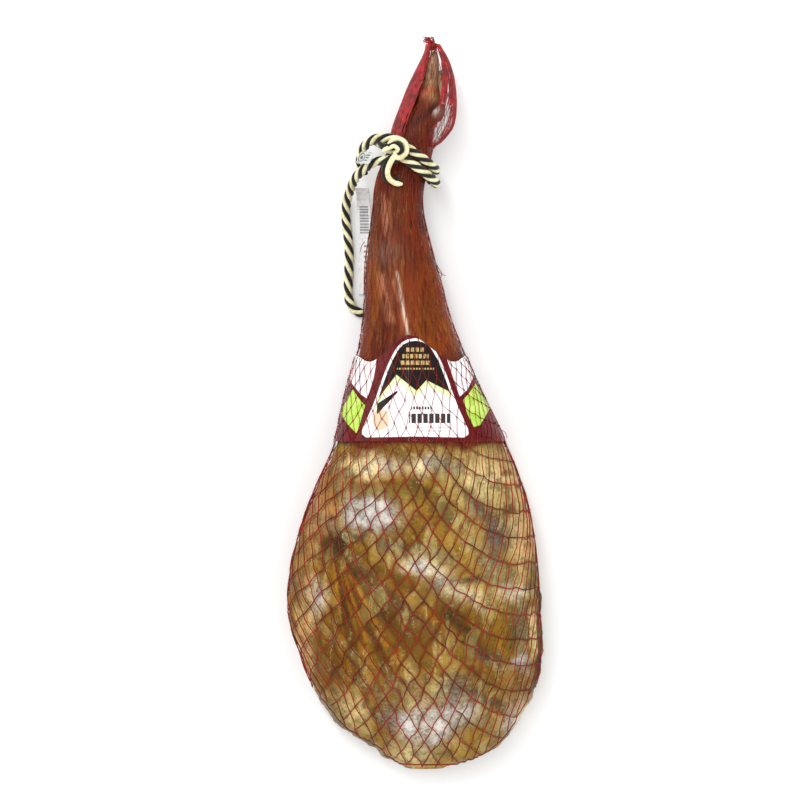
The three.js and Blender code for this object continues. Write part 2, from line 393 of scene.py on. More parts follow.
centre_y = np.linspace(lower_end + 0.5, LEG_END_Y - 3, 110)
centre_xz = middle_line(ham_ends, centre_y)
centre_xz = softened(centre_xz[:, [0, 0, 1, 1]], 2.5, 0)[:, [0, 2]]
# Beyond the leg the line goes on to the net's drawn-up top.
top_cut = cut_across(net_ends, TOP_Y - 1)
centre_y = np.append(centre_y, TOP_Y + 8)
centre_xz = np.vstack([centre_xz, (top_cut.min(0) + top_cut.max(0)) / 2])


def reach_of(cut, centre, angles, outer_window=0.0):
    """Distance from the centre to a section at each angle."""
    away = cut - centre
    turns = np.arctan2(away[:, 1], away[:, 0])
    reach = np.hypot(away[:, 0], away[:, 1])
    if outer_window:
        gap = np.abs((angles[:, None] - turns[None, :] + math.pi) % TAU - math.pi)
        return np.where(gap < outer_window, reach[None, :], 0).max(1)
    order = np.argsort(turns)
    return np.interp(angles, turns[order], reach[order], period=TAU)


def section_grid(ends, rows_y, outer_window=0.0):
    centres = centre_at(rows_y)
    return np.array([reach_of(cut_across(ends, y), centre, column_angles, outer_window)
                     for y, centre in zip(rows_y, centres)])


def to_points(reach, rows_y, angles=column_angles):
    centres = centre_at(rows_y)
    x = centres[:, :1] + reach * np.cos(angles)
    z = centres[:, 1:] + reach * np.sin(angles)
    return np.stack([x, np.broadcast_to(rows_y[:, None], x.shape), z], -1)


# ---------------------------------------------------------------- the ham's shape

def from_segment(x, y, x0, y0, x1, y1):
    """Distance from a straight line between two points."""
    run = np.array([x1 - x0, y1 - y0])
    t = np.clip(((x - x0) * run[0] + (y - y0) * run[1]) / (run @ run), 0, 1)
    return np.hypot(x - x0 - t * run[0], y - y0 - t * run[1])


def patch(x, y, x0, y0, rx, ry, lean=0.0):
    """A soft round patch, 1 at its middle."""
    c, s = math.cos(lean), math.sin(lean)
    u = ((x - x0) * c + (y - y0) * s) / rx
    v = (-(x - x0) * s + (y - y0) * c) / ry
    return np.exp(-(u * u + v * v) ** 1.4)


def strokes(x, y, lines):
    """Soft strokes from (strength, start, end, width) lines, added up."""
    return sum(strength * hump(from_segment(x, y, *ends) / width)
               for strength, *ends, width in lines)


def patches(x, y, spots):
    """Soft patches from (strength, middle, half sizes and lean) spots, added up."""
    return sum(strength * patch(x, y, *spot) for strength, *spot in spots)


def across_grain(points):
    """The same points turned, so that noise on them runs slantwise over the body."""
    x, y = points[..., 0], points[..., 1]
    return np.stack([x * 0.75 - y * 0.66, x * 0.66 + y * 0.75, points[..., 2]], -1)


# Ridges and hollows in the fat: height, two ends, width.
DIMPLE = (-75, -129)
FOLDS = (
    (-2.2, 28, -183, 70, -236, 5.5), (1.3, 40, -176, 82, -226, 8), (-1.4, -55, -73, -18, -74, 3),
    (0.9, -56, -66, -16, -67, 5), (-1.2, -57, -118, -36, -116, 3.5), (-1.0, 60, -262, 75, -276, 5),
)
BONE_RIDGE = ((1.5, -20, 150, -3, 40, 9),)


def ham_surface():
    reach = softened(section_grid(ham_ends, ham_y), 1.6, 2.2)
    at = to_points(reach, ham_y)
    x, y = at[..., 0], at[..., 1]
    front = smoothstep(-0.25, 0.35, np.sin(column_angles))[None, :]
    body = 1 - smoothstep(-45, 10, y)
    leg = 1 - body
    away_from_end = smoothstep(0, 26, y - lower_end)
    slanted = across_grain(at)
    swell = 2.0 * noise(at, 75, 11, 2) * body
    swell += 0.9 * noise(slanted, (70, 20, 40), 12, 2) * body * front
    swell += 0.6 * noise(at, 16, 13, 2) * body
    swell += 0.8 * noise(at, (16, 70, 16), 14, 2) * leg
    folds = strokes(x, y, FOLDS) - 1.6 * hump(np.hypot(x - DIMPLE[0], y - DIMPLE[1]) / 8)
    # The bone's ridge down the leg, and the step where the skin was cut back.
    folds += strokes(x, y, BONE_RIDGE) * leg
    step = -0.9 * smoothstep(-36, -42, y + 3.5 * noise(at, 14, 15, 2))
    # Trimmed edge round the flat side: knife cuts and loose flaps of fat.
    edge = hump((np.sin(column_angles) + 0.12) / 0.30)[None, :] * body
    ragged = edge * (1.6 * noise(at, (9, 11, 7), 16, 3) - 0.4)
    low = hump((y - lower_end) / 60)
    ragged += edge * low * 2.0 * noise(at, (7, 7, 6), 17, 2)
    # The lowest rows keep their own size, so that the blunt end stays blunt.
    return reach + ((swell + (folds + step) * front) * away_from_end
                    + ragged * (0.3 + 0.7 * away_from_end))


def lip(points):
    """Edges of rind and flaps of fat that stick out past the net, in millimetres."""
    x, y, z = points[..., 0], points[..., 1], points[..., 2]
    torn = 0.75 + 0.5 * noise(points, (5, 7, 5), 18, 2)
    low_side = hump((z - 24) / 17)
    right = 4.2 * smoothstep(60, 90, x) * smoothstep(-150, -182, y) * smoothstep(-282, -262, y)
    left = 3.4 * smoothstep(-10, -30, x) * smoothstep(-258, -282, y) * smoothstep(-336, -326, y)
    corner = 3.0 * smoothstep(40, 70, x) * smoothstep(-276, -290, y) * smoothstep(-330, -318, y)
    flaps = 4.0 * hump(np.hypot(x + 74, (y + 299) * 0.8) / 6)
    flaps += 3.0 * hump(np.hypot(x - 106, y + 276) / 8)
    return (right + left + corner + flaps) * torn * low_side


ham_reach = ham_surface()
ham_points = to_points(ham_reach, ham_y)
ham_points[..., 2] = np.maximum(ham_points[..., 2], 2.4 + 0.5 * noise(ham_points, 18, 5))


def grid_normals(points):
    along = np.gradient(points, axis=0)
    around = (np.roll(points, -1, 1) - np.roll(points, 1, 1)) / 2
    normal = np.cross(around, along)
    return normal / np.maximum(np.linalg.norm(normal, axis=-1, keepdims=True), 1e-9)


# ---------------------------------------------------------------- the ham's colours

GOLD = linear(136, 90, 14)
OCHRE = linear(160, 120, 32)
TAN = linear(184, 146, 62)
CREAM = linear(244, 222, 158)
BLOOM = linear(232, 228, 214)
GREY = linear(104, 96, 66)
BLUE_GREY = linear(84, 68, 66)
OLIVE = linear(92, 78, 18)
# Dark brown of the stains, and of the painted shade along the grooves.
STAIN_AND_SHADE = linear(36, 26, 12)
WARM_EDGE = linear(214, 146, 92)
RIND_DEEP = linear(66, 18, 5)
RIND_MID = linear(116, 44, 12)
RIND_WARM = linear(142, 76, 18)
RIND_PINK = linear(190, 122, 88)
LEAN_DEEP = linear(74, 26, 20)
LEAN_MID = linear(116, 48, 34)
HOOF_TAN = linear(178, 140, 104)


# Patches of colour in the fat: strength, middle, half sizes, lean.
GOLD_SPOTS = (
    (1, 12, -110, 30, 13), (1, -46, -205, 34, 60, 0.3), (1, -5, -200, 40, 45),
    (1, 60, -211, 26, 14, -0.5), (1, 24, -172, 14, 30, 0.4),
)
OLIVE_SPOTS = (
    (1, -10, -82, 30, 10, 0.1), (1, 34, -104, 20, 12, -0.6), (1, 14, -139, 26, 8, -0.3),
    (1, -106, -186, 8, 12), (1, -20, -225, 26, 24), (1, 92, -205, 8, 30),
)
CREAM_SPOTS = (
    (1, -43, -58, 26, 10), (1, 5, -57, 12, 9), (1, 66, -70, 30, 22), (1, 101, -118, 12, 44),
    (1, -90, -178, 9, 16), (1, 12, -152, 28, 10, -0.3), (1, 46, -173, 24, 9, -0.5),
    (1, 92, -174, 18, 9), (1, -4, -325, 22, 10), (1, -58, -280, 20, 12, -0.8),
    (1, -100, -215, 8, 40),
)
WARM_EDGES = ((1, -90, -105, 16, 40), (1, -104, -215, 7, 55), (1, 104, -110, 9, 40))
BLOOM_SPOTS = (
    (1.0, -42, -102, 24, 16), (0.5, -30, -56, 20, 9), (0.5, 10, -57, 10, 8),
    (0.95, 9, -296, 26, 22), (0.45, 45, -175, 24, 8, -0.5), (0.5, 94, -174, 15, 8),
    (0.6, -90, -178, 8, 15), (0.6, 12, -154, 24, 8, -0.3), (0.6, 96, -296, 12, 12),
    (0.6, 100, -240, 9, 9), (0.5, 48, -286, 18, 12),
)
GREY_SPOTS = (
    (0.9, 27, -62, 12, 11), (0.6, -45, -106, 24, 14), (0.8, -20, -131, 13, 5),
    (0.7, 20, -139, 26, 6, -0.3), (0.6, 61, -162, 26, 5, -0.2), (0.8, 98, -210, 8, 26),
    (0.6, -5, -258, 30, 16), (0.7, 46, -270, 26, 18), (0.6, 70, -236, 26, 8, -0.6),
)
BLUE_SPOTS = (
    (0.8, 58, -96, 11, 12, -0.35), (1.0, 76, -122, 16, 20), (0.6, 72, -150, 16, 8, -0.3),
    (0.8, -24, -289, 9, 12), (0.7, 38, -268, 16, 20), (0.5, 30, -58, 12, 9),
)
# Dark strokes, partly stains and partly painted shade along the grooves: strength, two ends, width.
STAIN_AND_SHADE_LINES = (
    (0.9, -66, -126, -30, -116, 3), (0.8, 30, -188, 74, -236, 7), (0.75, -30, -129, -6, -132, 4),
    (0.8, 56, -264, 80, -280, 5), (0.6, 36, -158, 84, -164, 3), (0.6, 44, -82, 66, -104, 5),
)
# Painted shade along two creases in the fat: strength, two ends, width.
CREASE_SHADE_LINES = ((1, -58, -75, -18, -73, 2.6), (1, -74, -50, -42, -45, 5))
# Painted highlights on the leg, pale pink streaks down its left slope: strength, two ends, width.
PINK_HIGHLIGHT_LINES = ((1, -31, 118, -22, 78, 4), (1, -20, 112, -5, 62, 3), (1, -28, 190, -25, 158, 4))
# Half width of the dried lean meat on the flat side, at places along the ham.
LEAN_Y = (-330, -300, -250, -200, -140, -100)
LEAN_HALF = (10, 50, 84, 92, 84, 74)
DARK_DIMPLE_MIDDLE = (-75, -130)
FAN_TOP = (-78, -118)
FAN_BEARING = 0.38        # radians from straight down


def whole(amount):
    return np.clip(amount, 0, 1)


def fat_tones(points, y, wx, wy):
    """Fat of the body: gold and ochre, clouded with cream, with its mould."""
    slanted = across_grain(points)
    clouds = noise(slanted, (80, 34, 50), 23, 3)
    tone = mix(GOLD, OCHRE, smoothstep(-0.35, 0.35, clouds))
    tone = mix(tone, TAN, 0.6 * smoothstep(0.0, 0.6, noise(slanted, (60, 26, 40), 24, 3)))
    tone = mix(tone, GOLD, whole(patches(wx, wy, GOLD_SPOTS)) * 0.8)
    olive = smoothstep(0.0, 0.45, noise(slanted, (44, 18, 30), 25, 3))
    tone = mix(tone, OLIVE, 0.62 * whole(0.6 * olive + patches(wx, wy, OLIVE_SPOTS)))
    tone = mix(tone, CREAM, whole(patches(wx, wy, CREAM_SPOTS)) * 0.84)
    tone = mix(tone, WARM_EDGE, whole(patches(wx, wy, WARM_EDGES)) * 0.7)

    # Mould: a white bloom, and greyer patches in slanting bands.
    bloom = patches(wx, wy, BLOOM_SPOTS)
    blue = patches(wx, wy, BLUE_SPOTS)
    bands = smoothstep(0.05, 0.4, noise(slanted, (95, 15, 40), 26, 3))
    grey = whole(patches(wx, wy, GREY_SPOTS) + 0.45 * bands * (y < -60))
    tone = mix(tone, GREY, grey * 0.78)
    tone = mix(tone, BLUE_GREY, whole(blue) * 0.95)
    tone = mix(tone, BLOOM, whole(bloom) * 0.35)
    return tone, bloom + 0.25 * grey + 0.25 * blue


def marked_fat(tone, points, x, y, wx, wy):
    """Streaks and stains over the fat, with painted shade along its grooves and creases."""
    # A fan of darker streaks runs down from beside the deep dimple on the left.
    across, down = x - FAN_TOP[0], FAN_TOP[1] - y
    away = np.hypot(across, down)
    bearing = np.arctan2(across, down)
    fan = hump((bearing - FAN_BEARING) / 0.62) * smoothstep(210, 60, away) * (down > 0)
    rays = noise(np.stack([bearing * 15, away / 80, 0 * x], -1), 1, 36, 3)
    tone = mix(tone, linear(142, 86, 10), 0.85 * fan)
    tone = mix(tone, linear(60, 32, 5), 0.9 * fan * smoothstep(-0.05, 0.2, rays))
    tone = mix(tone, linear(188, 128, 34), 0.6 * fan * smoothstep(-0.1, -0.4, rays))

    # Dark spots and strokes: stains, a dark spot at the dimple, and painted shade along the grooves that
    # some strokes follow.
    dimple_x, dimple_y = (x + wx) / 2 - DARK_DIMPLE_MIDDLE[0], (y + wy) / 2 - DARK_DIMPLE_MIDDLE[1]
    stain_and_shade = 1.2 * hump(np.hypot(dimple_x / 1.2, dimple_y) / 12)
    stain_and_shade += strokes(wx, wy, STAIN_AND_SHADE_LINES) + 0.7 * hump(np.hypot(wx - 24, wy + 94) / 8)
    stain_and_shade += 0.6 * smoothstep(0.34, 0.6, noise(points, 11, 27, 3))
    tone = mix(tone, STAIN_AND_SHADE, np.clip(stain_and_shade, 0, 0.88))
    # Painted shade: darker brown along the creases.
    return mix(tone, linear(124, 60, 20), 0.85 * whole(strokes(wx, wy, CREASE_SHADE_LINES)))


def lean_meat(tone, points, x, y, up):
    """Flat side: dried lean meat inside a border of fat."""
    under = smoothstep(0.15, -0.45, up) * (1 - smoothstep(-60, 0, y))
    half = np.interp(y, LEAN_Y, LEAN_HALF)
    lean = under * smoothstep(10, -10, np.abs(x - 2) - half + noise(points, 30, 28, 2) * 14)
    meat = mix(LEAN_DEEP, LEAN_MID, smoothstep(-0.3, 0.5, noise(points, (14, 40, 14), 29, 3)))
    meat = mix(meat, TAN, 0.7 * smoothstep(0.42, 0.6, noise(points, (12, 26, 12), 30, 3)))
    return mix(tone, meat, lean), lean


def trimmed_rim(tone, points, x, y, wx, wy, up):
    """Rough dark rim along the trimmed edge, with pale fat beside it on the right."""
    tatter = 1.6 * noise(points, (6, 8, 6), 35, 2)
    from_right = x.max(1, keepdims=True) - x + tatter
    from_left = x - x.min(1, keepdims=True) + tatter
    outer = smoothstep(-0.75, -0.45, up)
    for colour, share, distance, (full, none), *ends in (
            (linear(236, 206, 142), 0.95, from_right, (12, 14), (-186, -194), (-238, -228)),
            (linear(62, 44, 26), 0.95, from_right, (5.6, 7), (-140, -176), (-286, -266)),
            (linear(126, 118, 104), 0.85, from_left, (5, 7), (-262, -276)),
            (linear(64, 44, 28), 0.8, from_right, (1.4, 2.6), (-290, -300))):
        strip = smoothstep(none, full, distance) * outer
        for low, high in ends:
            strip = strip * smoothstep(low, high, y)
        tone = mix(tone, colour, share * strip)
    return mix(tone, linear(232, 214, 184), 0.6 * hump(np.hypot(wx - 98, (wy + 290) * 0.8) / 16))


def rind_tones(points, x, y, skin_edge):
    """Skin of the leg: red-brown, streaked along its length, with scars, and painted pale pink and white
    highlights.
    """
    rind = mix(RIND_MID, RIND_WARM, smoothstep(-0.2, 0.5, noise(points, (7, 60, 7), 32, 3)))
    rind = mix(rind, RIND_DEEP, 0.85 * smoothstep(-0.05, 0.45, noise(points, (9, 44, 9), 33, 3)))
    rind = mix(rind, RIND_DEEP, 0.15 + 0.5 * smoothstep(110, 215, y))
    rind = mix(rind, linear(158, 84, 16), 0.45 * hump(np.hypot((x - 12) / 26, (y - 60) / 60)))
    # Painted highlights: pale pink streaks down the left slope of the leg.
    pink_highlights = strokes(x, y, PINK_HIGHLIGHT_LINES) * smoothstep(-0.35, 0.25, noise(points, (4, 16, 8), 34, 3))
    rind = mix(rind, RIND_PINK, whole(pink_highlights) * 0.75)
    rind = mix(rind, linear(118, 92, 74), 0.85 * hump(np.hypot((x + 26) / 13, (y - 138) / 11)))
    # Painted highlight: a thin white line down the ridge of the leg.
    rind = mix(rind, linear(232, 214, 190), strokes(x, y, ((0.8, -16, 119, -5, 58, 1.3),)))
    return mix(rind, linear(84, 38, 20), 0.7 * hump((skin_edge + 38) / 6))


def ham_tones(points):
    """Colour, bloom of mould, skin, shine and lean meat at each point."""
    x, y = points[..., 0], points[..., 1]
    up = grid_normals(points)[..., 2]
    wx = x + 6 * noise(points, 20, 21, 2) + 4.5 * noise(points, 7, 51, 2)
    wy = y + 6 * noise(points, 20, 22, 2) + 4.5 * noise(points, 7, 52, 2)
    tone, bloom = fat_tones(points, y, wx, wy)
    tone = marked_fat(tone, points, x, y, wx, wy)
    tone, lean = lean_meat(tone, points, x, y, up)
    tone = trimmed_rim(tone, points, x, y, wx, wy, up)
    skin_edge = y + 5 * noise(points, 16, 31, 3) + 8 * hump((x + 45) / 14) + 6 * hump((x - 40) / 20)
    skin = smoothstep(-40, -34, skin_edge)
    tone = mix(tone, rind_tones(points, x, y, skin_edge), skin)
    bloom = whole(bloom) * (1 - skin) * (1 - lean)

    # Foot: darker skin, a pale patch above the dewclaw, the coronet over the hoof.
    tone = mix(tone, linear(112, 52, 34), 0.6 * smoothstep(228, 262, y))
    tone = mix(tone, linear(196, 150, 104), 0.8 * hump(np.hypot(x - 18, (y - 284) * 0.8) / 5))
    tone = mix(tone, linear(206, 122, 88), strokes(x, y, ((0.85, 8, 286, 17, 293, 4.5),)))
    # Painted shade: a dark stroke in the slit beside the dewclaw.
    tone = mix(tone, linear(58, 26, 18), strokes(x, y, ((0.8, 1, 259, 21, 276, 4),)))
    tone = mix(tone, HOOF_TAN, smoothstep(291, 297, y))
    shine = whole(0.25 + 0.75 * skin - 0.5 * bloom)
    return tone, bloom, skin, shine, lean


def ham_material():
    """Fat that bulges through the net, with its mould, and the streaked skin of the leg."""
    material, tree, shader = new_material("cured_skin_and_fat")
    tone = painted(tree, "tone", "Color")
    bloom, skin, shine, lean, cell_a, cell_b = (
        painted(tree, name) for name in ("bloom", "skin", "shine", "lean", "cell_a", "cell_b"))
    even = stretched(tree, (1, 1, 1))
    mottle = grain(even, 110, 8, 0.68)
    fine = grain(even, 420, 6, 0.7)
    bands = grain(stretched(tree, (80, 34, 60), (0, 0, math.radians(42))), 1.0, 7, 0.62, 0.6)
    streak = grain(stretched(tree, (420, 34, 420)), 1.0, 8, 0.62, 0.3)
    # Fat: mottled lighter and darker.
    fat = blend(times(between(mottle, 0.47, 0.64), 0.66), tone, (0.095, 0.058, 0.010))
    fat = blend(times(between(bands, 0.52, 0.64), 0.40), fat, (0.62, 0.49, 0.18))
    fat = blend(times(between(fine, 0.48, 0.36), 0.6), fat, (0.085, 0.055, 0.012))
    # The fat bulges through the net: painted shade darkens it in the hollows beside the strings.
    waves = [size_of(maths("SINE", times(cell, math.pi))) for cell in (cell_a, cell_b)]
    fat = blend(between(maths("MINIMUM", *waves), 0.04, 0.30, 0.46, 0), fat, (0.08, 0.035, 0.006))
    # Each cell of the net has its own random tone.
    number = add(tree, "ShaderNodeCombineXYZ", X=maths("FLOOR", cell_a), Y=maths("FLOOR", cell_b))
    shade = add(tree, "ShaderNodeTexWhiteNoise", {"noise_dimensions": "2D"},
                Vector=number.outputs[0]).outputs[0]
    fat = blend(evenly(shade, 0.6, 1.0, 0, 0.20), fat, (0.60, 0.48, 0.14))
    fat = blend(evenly(shade, 0.4, 0.0, 0, 0.22), fat, (0.09, 0.06, 0.008))
    # Mould: patches with crisp edges, and white flecks and grey specks where there is bloom.
    edge = plus(bloom, evenly(mottle, 0.3, 0.7, -0.35, 0.35))
    mouldy = times(between(edge, 0.42, 0.62), evenly(shade, 0.0, 0.9, 0.2, 0.85))
    mould = blend(between(mottle, 0.42, 0.60), (0.80, 0.76, 0.70), (0.29, 0.26, 0.235))
    fat = blend(mouldy, fat, mould)
    fleck = times(bloom, between(fine, 0.40, 0.60))
    fat = blend(times(fleck, 0.45), fat, (0.68, 0.66, 0.62))
    # Painted highlights: small pale glints on the fat.
    painted_glint = times(between(fine, 0.60, 0.68), between(bands, 0.42, 0.56))
    fat = blend(times(painted_glint, 0.5), fat, (0.80, 0.74, 0.58))
    # Dark grey specks of mould where there is bloom.
    speck = times(bloom, between(grain(even, 260, 5, 0.65, 0.4), 0.56, 0.68))
    fat = blend(times(speck, 0.7), fat, (0.12, 0.105, 0.075))
    # Skin: long streaks and paler scuffs.
    rind = blend(times(between(streak, 0.46, 0.66), 0.72), tone, (0.050, 0.007, 0.002))
    scuff = grain(stretched(tree, (520, 60, 520)), 1.0, 6, 0.6)
    rind = blend(times(between(scuff, 0.56, 0.72), 0.5), rind, (0.36, 0.17, 0.05))
    rough = plus(evenly(shine, 0, 1, 0.62, 0.24), evenly(fine, 0.3, 0.7, -0.08, 0.12), clamp=True)
    dress(shader, blend(skin, fat, rind), rough, 0.11)
    bumps(shader, (mottle, 0.5, 2.2), (times(streak, plus(skin, lean)), 0.45, 1.2),
          (fine, 0.35, 0.5))
    return material


CLAW_RINGS, CLAW_SIDES = 22, 20
HOOF_PARTS = (
    # middle (mm), half sizes, lean round Z: the two toes, then the dewclaw and the one below
    ((16.0, 307.0, 41.0), (7.0, 21.0, 9.0), -0.16),
    ((24.0, 294.5, 35.5), (6.4, 16.0, 8.5), -0.10),
    ((22.4, 269.0, 50.0), (5.5, 9.5, 6.5), -0.50),
    ((16.5, 263.5, 31.0), (5.5, 8.5, 6.0), -0.35),
)


def claw(middle, half, lean):
    """A horny claw: a blunt cone, ridged along its length."""
    t = np.linspace(-1, 1, CLAW_RINGS)[:, None]
    a = np.arange(CLAW_SIDES) / CLAW_SIDES * TAU
    width = (np.sqrt(1 - t * t) * (1 - 0.28 * t) + 0.02) * (
        1 + 0.05 * np.sin(5 * a + 1.0) + 0.03 * np.sin(9 * a))
    x = half[0] * width * np.cos(-a)
    z = half[2] * width * np.sin(-a)
    y = half[1] * np.broadcast_to(t, x.shape)
    c, s = math.cos(lean), math.sin(lean)
    return np.stack([x * c - y * s, x * s + y * c, z], -1) + np.array(middle)


def claw_colour(number, flat, middle, half):
    """Horn, streaked along its length: a painted white highlight on the second toe, pale dewclaws."""
    x, y = flat[:, 0], flat[:, 1]
    if number >= 2:
        return mix(linear(120, 66, 42), linear(205, 196, 184), hump(np.hypot(x - 21, y - 271) / 4.5))
    grained = smoothstep(-0.5, 0.5, noise(flat, (3, 26, 3), 40 + number, 3))
    colour = mix(linear(150, 106, 74), linear(206, 176, 142), grained)
    tip = smoothstep(0.35, 0.95, (y - middle[1]) / half[1])
    colour = mix(colour, linear(120, 100, 80), 0.4 * tip)
    if number == 1:
        # Painted highlight: a white glint on the second toe.
        colour = mix(colour, linear(226, 222, 216), 0.85 * hump(np.hypot(x - 25, y - 302) / 5))
        colour = mix(colour, linear(30, 20, 18), strokes(x, y, ((0.9, 27, 302, 29, 294, 1.6),)))
    return colour


HAM_PAINTS = ("tone", "bloom", "skin", "shine", "lean", "cell_a", "cell_b")
CLAW_PAINTS = (0, 1, 0.8, 0, 0.5, 0.5)      # the same after its tone, for all of a claw


def bulge(points, first, second):
    """Pushes the fat out between the net's strings, and the torn rind past them."""
    y = points[..., 1]
    pillow = np.sqrt(np.abs(np.sin(math.pi * first) * np.sin(math.pi * second)))
    soft = (1 - smoothstep(-62, -36, y)) * smoothstep(-338, -330, y)
    outward = (1.2 * pillow - 0.6) * soft + lip(points)
    points[...] = points + grid_normals(points) * outward[..., None]
    points[..., 2] = np.maximum(points[..., 2], 1.6)


def make_ham():
    first, second = lattice_places(ham_points)
    bulge(ham_points, first, second)
    rows, columns = ham_points.shape[:2]
    count = rows * columns
    last = count - columns
    ends = [ham_points[0].mean(0) - (0, 0.4, 0), ham_points[-1].mean(0) + (0, 3, 0)]
    points = [ham_points.reshape(-1, 3), ends]
    faces = ring_faces(rows, columns).tolist()
    faces += [(count, (i + 1) % columns, i) for i in range(columns)]
    faces += [(count + 1, last + i, last + (i + 1) % columns) for i in range(columns)]
    paints = []
    for values in (*ham_tones(ham_points), first, second):
        values = values.reshape(rows, columns, -1)
        paints.append([values.reshape(count, -1), values[[0, -1]].mean(1)])
    start = count + 2
    for number, (middle, half, turn) in enumerate(HOOF_PARTS):
        flat = claw(middle, half, turn).reshape(-1, 3)
        points.append(flat)
        faces += capped_tube_faces(CLAW_RINGS, CLAW_SIDES, start)
        paints[0].append(claw_colour(number, flat, middle, half))
        for layer, value in zip(paints[1:], CLAW_PAINTS):
            layer.append(np.full((len(flat), 1), value))
        start += len(flat)
    piece = mesh_object("ham_body", np.concatenate(points), faces)
    face_outward(piece)
    smooth(piece)
    for name, values in zip(HAM_PAINTS, paints):
        values = np.concatenate(values)
        paint(piece, name, values if name == "tone" else values[:, 0])
    finished(piece, ["ham"], ham_material())


# ---------------------------------------------------------------- the surface that wraps lie on

WRAP_ROWS = 330
wrap_y = np.linspace(NET_LOW_Y, TOP_Y, WRAP_ROWS)


def at_rows(grid, from_y, to_y):
    return np.array([np.interp(to_y, from_y, grid[:, j]) for j in range(grid.shape[1])]).T


def wrap_surface():
    """Reach of the ham, as a stretched skin over it would lie, on even rows."""
    centres = centre_at(ham_y)
    flat = ham_points - np.concatenate([centres[:, None, :1], ham_y[:, None, None],
                                        centres[:, None, 1:]], -1)
    reach = at_rows(np.hypot(flat[..., 0], flat[..., 2]), ham_y, wrap_y)
    beyond = smoothstep(LEG_END_Y - 4, LEG_END_Y, wrap_y)[:, None]
    skin = np.maximum(softened(tallest(reach, 2), 2.0, 2.0), softened(reach, 1, 1) + 0.2)
    tent_rows = wrap_y > 226
    tent = np.zeros_like(reach)
    tent[tent_rows] = section_grid(net_ends, wrap_y[tent_rows], 0.16)
    tent = softened(tent, 1.2, 3.0)
    share = smoothstep(228, 244, wrap_y)[:, None]
    skin = np.where(beyond > 0.5, 0, skin)
    return np.maximum(skin + 0.3, tent * share), skin


wrap_reach, ham_skin = wrap_surface()


def collar_top(angle):
    """Height of the collar's upper edge above its lower one, at an angle round the leg."""
    turn = np.abs((angle - math.pi / 2 + math.pi) % TAU - math.pi)
    return 80 + 18 * hump(turn / 0.52) - 7 * hump((turn - 0.95) / 0.3)


paper_reach = softened(tallest(ham_skin, 1), 5, 5) + 0.45
collar_share = (smoothstep(COLLAR_Y - 5, COLLAR_Y, wrap_y)[:, None]
                * smoothstep(5, 0, wrap_y[:, None] - COLLAR_Y - collar_top(column_angles)[None, :]))
paper_reach = np.maximum(paper_reach, ham_skin + 0.25)
net_reach = np.maximum(wrap_reach, (paper_reach + 0.45) * collar_share)


def surface_lookup(reach):
    """Each row as x and z at even steps of its own length, from the front middle clockwise."""
    steps = 720
    points = to_points(reach, wrap_y)
    looped = np.concatenate([points, points[:, :1]], 1)
    table = np.empty((WRAP_ROWS, steps, 2))
    length = np.empty(WRAP_ROWS)
    for row in range(WRAP_ROWS):
        run = np.concatenate([[0], np.cumsum(np.linalg.norm(np.diff(looped[row], axis=0), axis=1))])
        length[row] = run[-1]
        at = np.linspace(0, run[-1], steps, endpoint=False)
        table[row, :, 0] = np.interp(at, run, looped[row, :, 0])
        table[row, :, 1] = np.interp(at, run, looped[row, :, 2])
    return table, length


net_table, net_length = surface_lookup(net_reach)


def mouth_profiles():
    """Height of the net's upper and lower side across each row, and the row's two edges."""
    across = np.arange(-HALF_SPAN, HALF_SPAN + 1)
    points = to_points(net_reach, wrap_y)
    upper, lower = [], []
    for row in points:
        left, right = row[:, 0].argmin(), row[:, 0].argmax()
        turned = np.roll(row, -left, 0)
        split = (right - left) % len(row)
        top, under = turned[:split + 1], np.vstack([turned[split:], turned[:1]])[::-1]
        upper.append(np.interp(across, top[:, 0], top[:, 2]))
        lower.append(np.interp(across, under[:, 0], under[:, 2]))
    row_y = ham_points[..., 1].mean(1)
    edges = np.stack([np.interp(wrap_y, row_y, ham_points[..., 0].min(1)),
                      np.interp(wrap_y, row_y, ham_points[..., 0].max(1))], -1)
    return np.array(upper), np.array(lower), edges


upper_side, lower_side, row_edges = mouth_profiles()
mouth_row = int(np.searchsorted(wrap_y, MOUTH_Y))
mouth_x = net_table[mouth_row, :, 0]
mouth_turns = (mouth_x.argmax() / len(mouth_x), mouth_x.argmin() / len(mouth_x))


def is_upper(turn):
    return (turn % 1 <= mouth_turns[0]) | (turn % 1 >= mouth_turns[1])


def row_and_part(y):
    """The row below a place along the net, and how far it is towards the next."""
    row = np.clip((y - wrap_y[0]) / (wrap_y[1] - wrap_y[0]), 0, WRAP_ROWS - 1.001)
    whole = np.floor(row).astype(int)
    return whole, row - whole


def near_mouth(turn, y, lift):
    """Below the mouth's level strings keep their place across, and only go down."""
    steps = np.arange(len(mouth_x) + 1) / len(mouth_x)
    x = np.interp(turn % 1, steps, np.append(mouth_x, mouth_x[0]))
    return place_across(x, y, is_upper(turn), lift)


def place_across(x, y, upper, lift):
    """A point on the net's upper or lower side at a place across and along."""
    row, part = row_and_part(y)
    column = np.clip(x + HALF_SPAN, 0, 2 * HALF_SPAN - 0.001)
    c0 = np.floor(column).astype(int)
    fc = column - c0

    def height(table):
        low = table[row, c0] * (1 - fc) + table[row, c0 + 1] * fc
        high = table[row + 1, c0] * (1 - fc) + table[row + 1, c0 + 1] * fc
        return low * (1 - part) + high * part
    z = np.where(upper, height(upper_side) + lift, height(lower_side) - lift)
    return np.stack([x, y, np.maximum(z, STRING_LOW)], -1)


def string_is_there(turn, y):
    """Whether the net covers a place: below the mouth's level only inside the ham's outline."""
    x = near_mouth(turn, y, 0.0)[:, 0]
    row, _ = row_and_part(y)
    inside = (x > row_edges[row, 0] + MOUTH_INSET) & (x < row_edges[row, 1] - MOUTH_INSET)
    return (y > MOUTH_Y) | (is_upper(turn) & inside)


